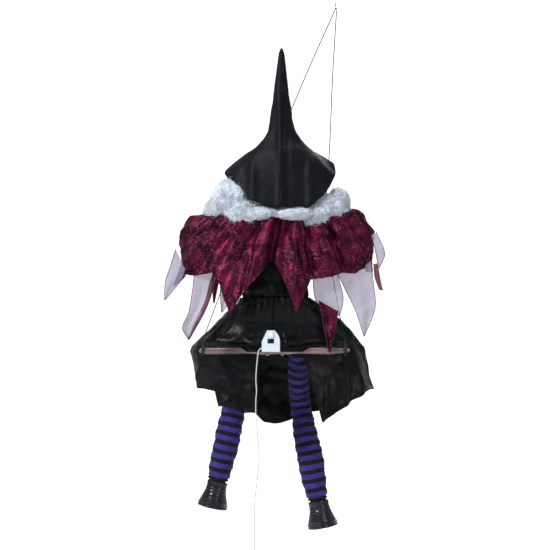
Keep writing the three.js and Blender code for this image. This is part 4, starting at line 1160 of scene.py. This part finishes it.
def boot(side):
    """A moulded boot with a seam, a welt, tread bars and a screw hole at its heel, shown as a dark plug and
    rim of painted shade.
    """
    shin_x, shin_z = shin_axes(side)
    ankle = KNEE[side] - shin_z * SHIN_LENGTH * MM
    rows = len(BOOT_SECTIONS) - 1

    def place(x, y, z):
        return ankle + (shin_x * x + Vector((0, 1, 0)) * y + shin_z * z) * MM

    def point(u, v):
        k = v * rows
        i = min(int(k), rows - 1)
        z, half_x, half_y, shift = [mix(a, b, k - i) for a, b in zip(BOOT_SECTIONS[i], BOOT_SECTIONS[i + 1])]
        angle = u * TAU
        c, s = math.cos(angle), math.sin(angle)
        toe = smooth((-z - 14) / 20)
        half_x *= 1 + 0.05 * toe * s
        crease = 0.5 * math.sin(z * 0.9 + 1.5 * s) * bell(z + 16, 8)
        crease += 0.5 * ripple(c * 20, s * 20, z, 17, 4) * (1 if z > -39 else 0.1)
        return place((half_x + crease) * c, shift + (half_y + crease) * s, z)

    shin = f"shin_{side}"
    shell = piece(f"boot_upper_{side}", grid(point, 112, rows * 6, closed=True, ends=True), "boot", body=shin)
    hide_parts(f"boot_{side}")
    parts = []
    for z, lift in ((-9, 0.3), (-30, 0.35)):
        half, deep, shift = table(BOOT_SECTIONS, z)
        ring = [place((half + lift) * math.cos(angle), shift + (deep + lift) * math.sin(angle), z)
                for angle in steps(64, 0, TAU)]
        parts.append(tube_part(ring, 0.45 * MM, 6, shin_z))
    for y in steps(8, -17, 58):
        reach = 24 * max(0.2, 1 - ((y - 21) / 44) ** 2) ** 0.5
        bar = [place(x, y, SOLE_Z) for x in (-reach, 0, reach)]
        parts.append(tube_part(bar, 0.9 * MM, 6, Vector((0, 1, 0))))
    piece(f"boot_seams_{side}", join_meshes(parts), "boot", body=shin)
    # the screw hole is not cut into the heel: a dark plug with a dark rim stands there, its black painted
    # shade of the hole's recess
    socket = [place(2, -22.6, -30), place(2, -20, -30)]
    rim = [place(2 + 2.6 * math.cos(a), -22.0 - 0.4 * math.sin(a), -30 + 2.6 * math.sin(a))
           for a in steps(24, 0, TAU)]
    screw = [tube_part(socket, 2.0 * MM, 16, shin_x), tube_part(rim, 0.5 * MM, 8, Vector((0, 1, 0)))]
    piece(f"boot_screw_hole_painted_shade_{side}", join_meshes(screw), "dark_plastic", "dark", shin)


for side_name, side_sign in SIDES:
    stocking(side_name, side_sign)
    boot(side_name)


# ------------------------------------------------------------------ head and hands
UP = Vector((0, 0, 1))
FACE_X = 5
HEAD = Vector((FACE_X, 6, -350))
HEAD_RADII = Vector((44, 47, 60))
EYE_X, EYE_Y, EYE_Z = 16.5, 41.5, -347
BROW_Z = -334
FACE_LUMPS = [
    # from the middle of the face, height, half width, half height, how far it stands out
    (0, -356, 4.6, 13, 8.5), (0, -367.5, 5.6, 4.8, 7.0), (0, -383.2, 10, 1.9, 2.0),
    (0, -389.2, 9, 2.1, 2.2), (0, -386.3, 12, 0.9, -1.7), (0, -377, 1.7, 3.2, -0.9),
    (0, -404, 11, 8, 4.2), (0, -395, 9, 2.6, -1.6),
]
PAIRED_LUMPS = [
    # the same, made once on each side
    (EYE_X, EYE_Z, 9.5, 6.5, -5.2), (16, BROW_Z, 13, 4.2, 2.4), (22, -366, 11, 10, 2.6),
    (6.2, -369.5, 3.4, 3.0, 2.6), (5.0, -386.5, 6, 2.0, 1.2), (14, -384, 3.5, 3.0, -1.2),
]
FACE_LUMPS += [(sign * lump[0], *lump[1:]) for lump in PAIRED_LUMPS for _, sign in SIDES]


def face_relief(x, z):
    """How far the face stands out from the plain skull at a place across and up the face, in millimetres."""
    return sum(height * bell(x - FACE_X - across, half_x) * bell(z - middle, half_z)
               for across, middle, half_x, half_z, height in FACE_LUMPS)


def head_point(u, v):
    angle, tilt = u * TAU, (v - 0.5) * math.pi
    d = Vector((math.cos(tilt) * math.cos(angle), math.cos(tilt) * math.sin(angle), math.sin(tilt)))
    jaw = smooth((-d.z - 0.15) / 0.75)
    narrow = 1 - 0.2 * jaw
    p = HEAD + HEAD_RADII * d
    p.x = HEAD.x + HEAD_RADII.x * d.x * narrow
    p.y += 9 * jaw * max(0, d.y + 0.2)
    if d.y > 0:
        p.y += face_relief(p.x, p.z) * smooth(d.y * 2.4)
    return at(*p)


def on_face(x, z, lift=0.0):
    """A place on the front of the face, lifted off the skin by some millimetres."""
    round_off = 1 - ((x - HEAD.x) / HEAD_RADII.x) ** 2 - ((z - HEAD.z) / HEAD_RADII.z) ** 2
    return at(x, HEAD.y + HEAD_RADII.y * math.sqrt(max(0.0, round_off)) + face_relief(x, z) + lift, z)


def dome(centre, radii, rings=14, sides=28):
    """Points and faces of a closed rounded body whose axis is +Y."""
    def place(tilt, angle):
        c = math.cos(tilt)
        return in_lobe(centre, radii, (c * math.cos(angle), math.sin(tilt), c * math.sin(angle)))

    return rings_part([[place(tilt, angle) for angle in steps(sides, 0, TAU)[:-1]]
                       for tilt in steps(rings, -math.pi / 2, math.pi / 2)])


def eyelid(sign, reach):
    """A lid as a curved band that reaches over the eye by some millimetres, up or down."""
    points = [at(FACE_X + sign * EYE_X + 8.6 * t, EYE_Y + 7.2 * (1 - 0.62 * t * t) ** 0.5 - 0.4,
                 EYE_Z + reach * (1 - t * t) ** 0.8 - 0.4) for t in steps(14, -1, 1)]
    return tube_part(points, tapered(1.5, 14, 0.55), 10, UP, 0.8)


def head():
    skull = piece("head_sculpt", grid(head_point, 150, 130, closed=True, ends=True), "skin")
    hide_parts("head_shell")
    whites, irises, pupils, lids, brows = [], [], [], [], []
    for _, sign in SIDES:
        cx = FACE_X + sign * EYE_X
        whites.append(dome((cx, EYE_Y, EYE_Z), (8.2, 7.4, 7.0)))
        irises.append(dome((cx, EYE_Y + 5.7, EYE_Z), (4.1, 2.1, 4.1), 8, 24))
        pupils.append(dome((cx, EYE_Y + 7.3, EYE_Z), (1.9, 0.9, 1.9), 6, 18))
        lids += [eyelid(sign, 3.4), eyelid(sign, -2.6)]
        arc = [on_face(cx + 11 * t, BROW_Z + 3 * (1 - t * t), 0.4) for t in steps(12, -1, 1)]
        brows.append(tube_part(arc, tapered(1.5, 12, 0.6), 8, UP, 0.6))
    piece("eye_whites", join_meshes(whites), "skin", "eye")
    piece("eye_irises", join_meshes(irises), "skin", "iris")
    piece("eye_pupils", join_meshes(pupils), "skin", "dark")
    piece("eyelids", join_meshes(lids), "skin")
    piece("eyebrows", join_meshes(brows), "hair")
    for name, z, radius, bow in (("lip_upper", -384.4, 1.5, 1.1), ("lip_lower", -388.2, 1.8, -1.0)):
        line = [at(FACE_X + 11 * t, 53.0 - 3.6 * t * t, z + 0.5 * bow * math.cos(t * 3.3) - 0.6 * (1 - t * t))
                for t in steps(16, -1, 1)]
        lip = tube_part(line, tapered(radius, 16, 1.0, 2.2, 0.25), 10, UP, 0.9)
        piece(name, join_meshes([lip]), "skin", "lip")


# radii along a finger and the thumb, to the tip
FINGER = (3.45, 3.5, 3.5, 3.3, 3.2, 3.25, 3.3, 3.15, 3.0, 3.0, 3.05, 2.95, 2.8, 2.4, 1.5)
THUMB = (3.4, 3.7, 3.8, 3.6, 3.3, 3.3, 3.3, 3.1, 2.6, 1.5)


def hand(side, sign):
    """A loosely closed hand: a palm behind the string, four fingers round it and the thumb over them."""
    centre = Vector(HANDS[side])
    parts = [dome((centre.x + sign * 6.5, centre.y - 2, centre.z - 1), (6.4, 11.5, 14.2), 18, 30)]
    for k in range(4):
        z = centre.z + 10.5 - 7.1 * k
        path = []
        for t in steps(14):
            turn = mix(-0.35, 1.28, t) * math.pi
            reach = 7.4 - 1.2 * t
            path.append(at(centre.x + sign * reach * math.cos(turn),
                           centre.y + 1 + (reach + 1.2) * math.sin(turn), z - 0.8 * math.sin(turn)))
        parts.append(tube_part(path, [radius * MM for radius in FINGER], 14, UP))
    thumb = [at(centre.x + sign * (8 - 12 * t), centre.y - 4 - 8 * math.sin(t * 2.6), centre.z + 14 - 4.5 * t)
             for t in steps(9)]
    parts.append(tube_part(thumb, [radius * MM for radius in THUMB], 14, UP))
    heel, wrist = at(centre.x + sign * 8, centre.y - 5, centre.z - 1), at(*wrist_place(side, sign))
    parts.append(tube_part([heel.lerp(wrist, t) for t in steps(4)], 7.6 * MM, 20))
    obj = piece(f"hand_sculpt_{side}", join_meshes(parts), "skin")
    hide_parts(f"hand_{side}")


head()
for side_name, side_sign in SIDES:
    hand(side_name, side_sign)


# ------------------------------------------------------------------ CAD pieces that stay as they are
KEPT = {
    "string": ["string_loop"],
    "white": ["control_box", "control_cover", "trigger_body"],
    "cap": ["box_button"],
    "board": ["circuit_board"],
    "lead": ["strain_relief"],
    "tie": ["hank_tie"],
    "plunger": ["trigger_plunger"],
    "steel": ["bar_screw_left", "bar_screw_right", "housing_screw_lower", "housing_screw_upper",
              "knee_pin_left", "knee_pin_right", "crank_shaft", "worm", "motor", "battery_cell_1",
              "battery_cell_2"],
    "gear": ["crank_gear"],
    "dark": ["slide_switch", "pelvis_back", "pelvis_front", "torso_back", "torso_front", "battery_case",
             "neck_post"],
    "grey": ["speaker", "thigh_core_left", "thigh_core_right", "shin_core_left", "shin_core_right"],
}
EDGES = {
    # rounding of each piece's edges in millimetres
    "control_box": 0.9, "control_cover": 0.9, "box_button": 0.8, "slide_switch": 0.4, "trigger_body": 1.2,
    "trigger_plunger": 1.0, "crank_gear": 0.2, "pelvis_back": 0.6, "pelvis_front": 0.6,
}

for look, names in KEPT.items():
    for name in names:
        node = bpy.data.objects[name]
        node.data.materials.clear()
        node.data.materials.append(LOOK[look])
for name, width in EDGES.items():
    rounding = bpy.data.objects[name].modifiers.new("edges", "BEVEL")
    rounding.width = width * MM
    rounding.segments = 3
    rounding.limit_method = "ANGLE"
    rounding.angle_limit = math.radians(35)


# ------------------------------------------------------------------ floor and light
def stage_sheet(name, corners, finish):
    data = mesh_data(corners, [(0, 1, 2, 3)])
    data.name = name
    data.materials.append(finish.material)
    sheet = bpy.data.objects.new(name, data)
    bpy.context.collection.objects.link(sheet)


CORNERS = [(-3, -3), (3, -3), (3, 3), (-3, 3)]


def floor():
    """A pale studio floor well below the figure."""
    low = CAD_BOX[0][2] - 0.35
    pale = Finish("pale_floor", (0.86, 0.86, 0.86), 0.9)
    pale.mottle([(0.3, (0.84, 0.84, 0.84)), (0.7, (0.88, 0.88, 0.88))], 2)
    stage_sheet("studio_floor", [(x, y, low) for x, y in CORNERS], pale)


def backdrop():
    """A plain white backdrop far behind the figure, lit of its own."""
    white = Finish("white_backdrop", (1, 1, 1), 1.0, Emission_Strength=1.0)
    glow = white.ramp(white.noise(0.5), [(0.3, (1, 1, 1)), (0.7, (0.995, 0.995, 0.995))])
    white.link(glow, white.shader.inputs["Emission Color"])
    stage_sheet("backdrop", [at(0, 12000, -500) + Vector((x, 0, z)) for x, z in CORNERS], white)


def area_light(name, place, target, power, size):
    data = bpy.data.lights.new(name, "AREA")
    data.energy = power
    data.size = size
    light = bpy.data.objects.new(name, data)
    light.location = place
    light.rotation_euler = (Vector(target) - Vector(place)).to_track_quat("-Z", "Y").to_euler()
    bpy.context.collection.objects.link(light)


def lights():
    middle = at(0, 0, -550)
    area_light("key", (-2.5, -1.7, 1.1), middle, 96, 0.5)
    area_light("fill", (2.0, -2.4, 0.1), middle, 24, 1.2)
    area_light("top", (0, -0.3, 1.7), middle, 24, 1.0)
    area_light("front", (0.6, 2.6, 0.4), middle, 26, 1.4)
    world = bpy.data.worlds.new("studio")
    world.use_nodes = True
    world.node_tree.nodes["Background"].inputs["Color"].default_value = (1, 1, 1, 1)
    world.node_tree.nodes["Background"].inputs["Strength"].default_value = 0.27
    bpy.context.scene.world = world
    bpy.context.scene.view_settings.view_transform = "Standard"


floor()
backdrop()
lights()
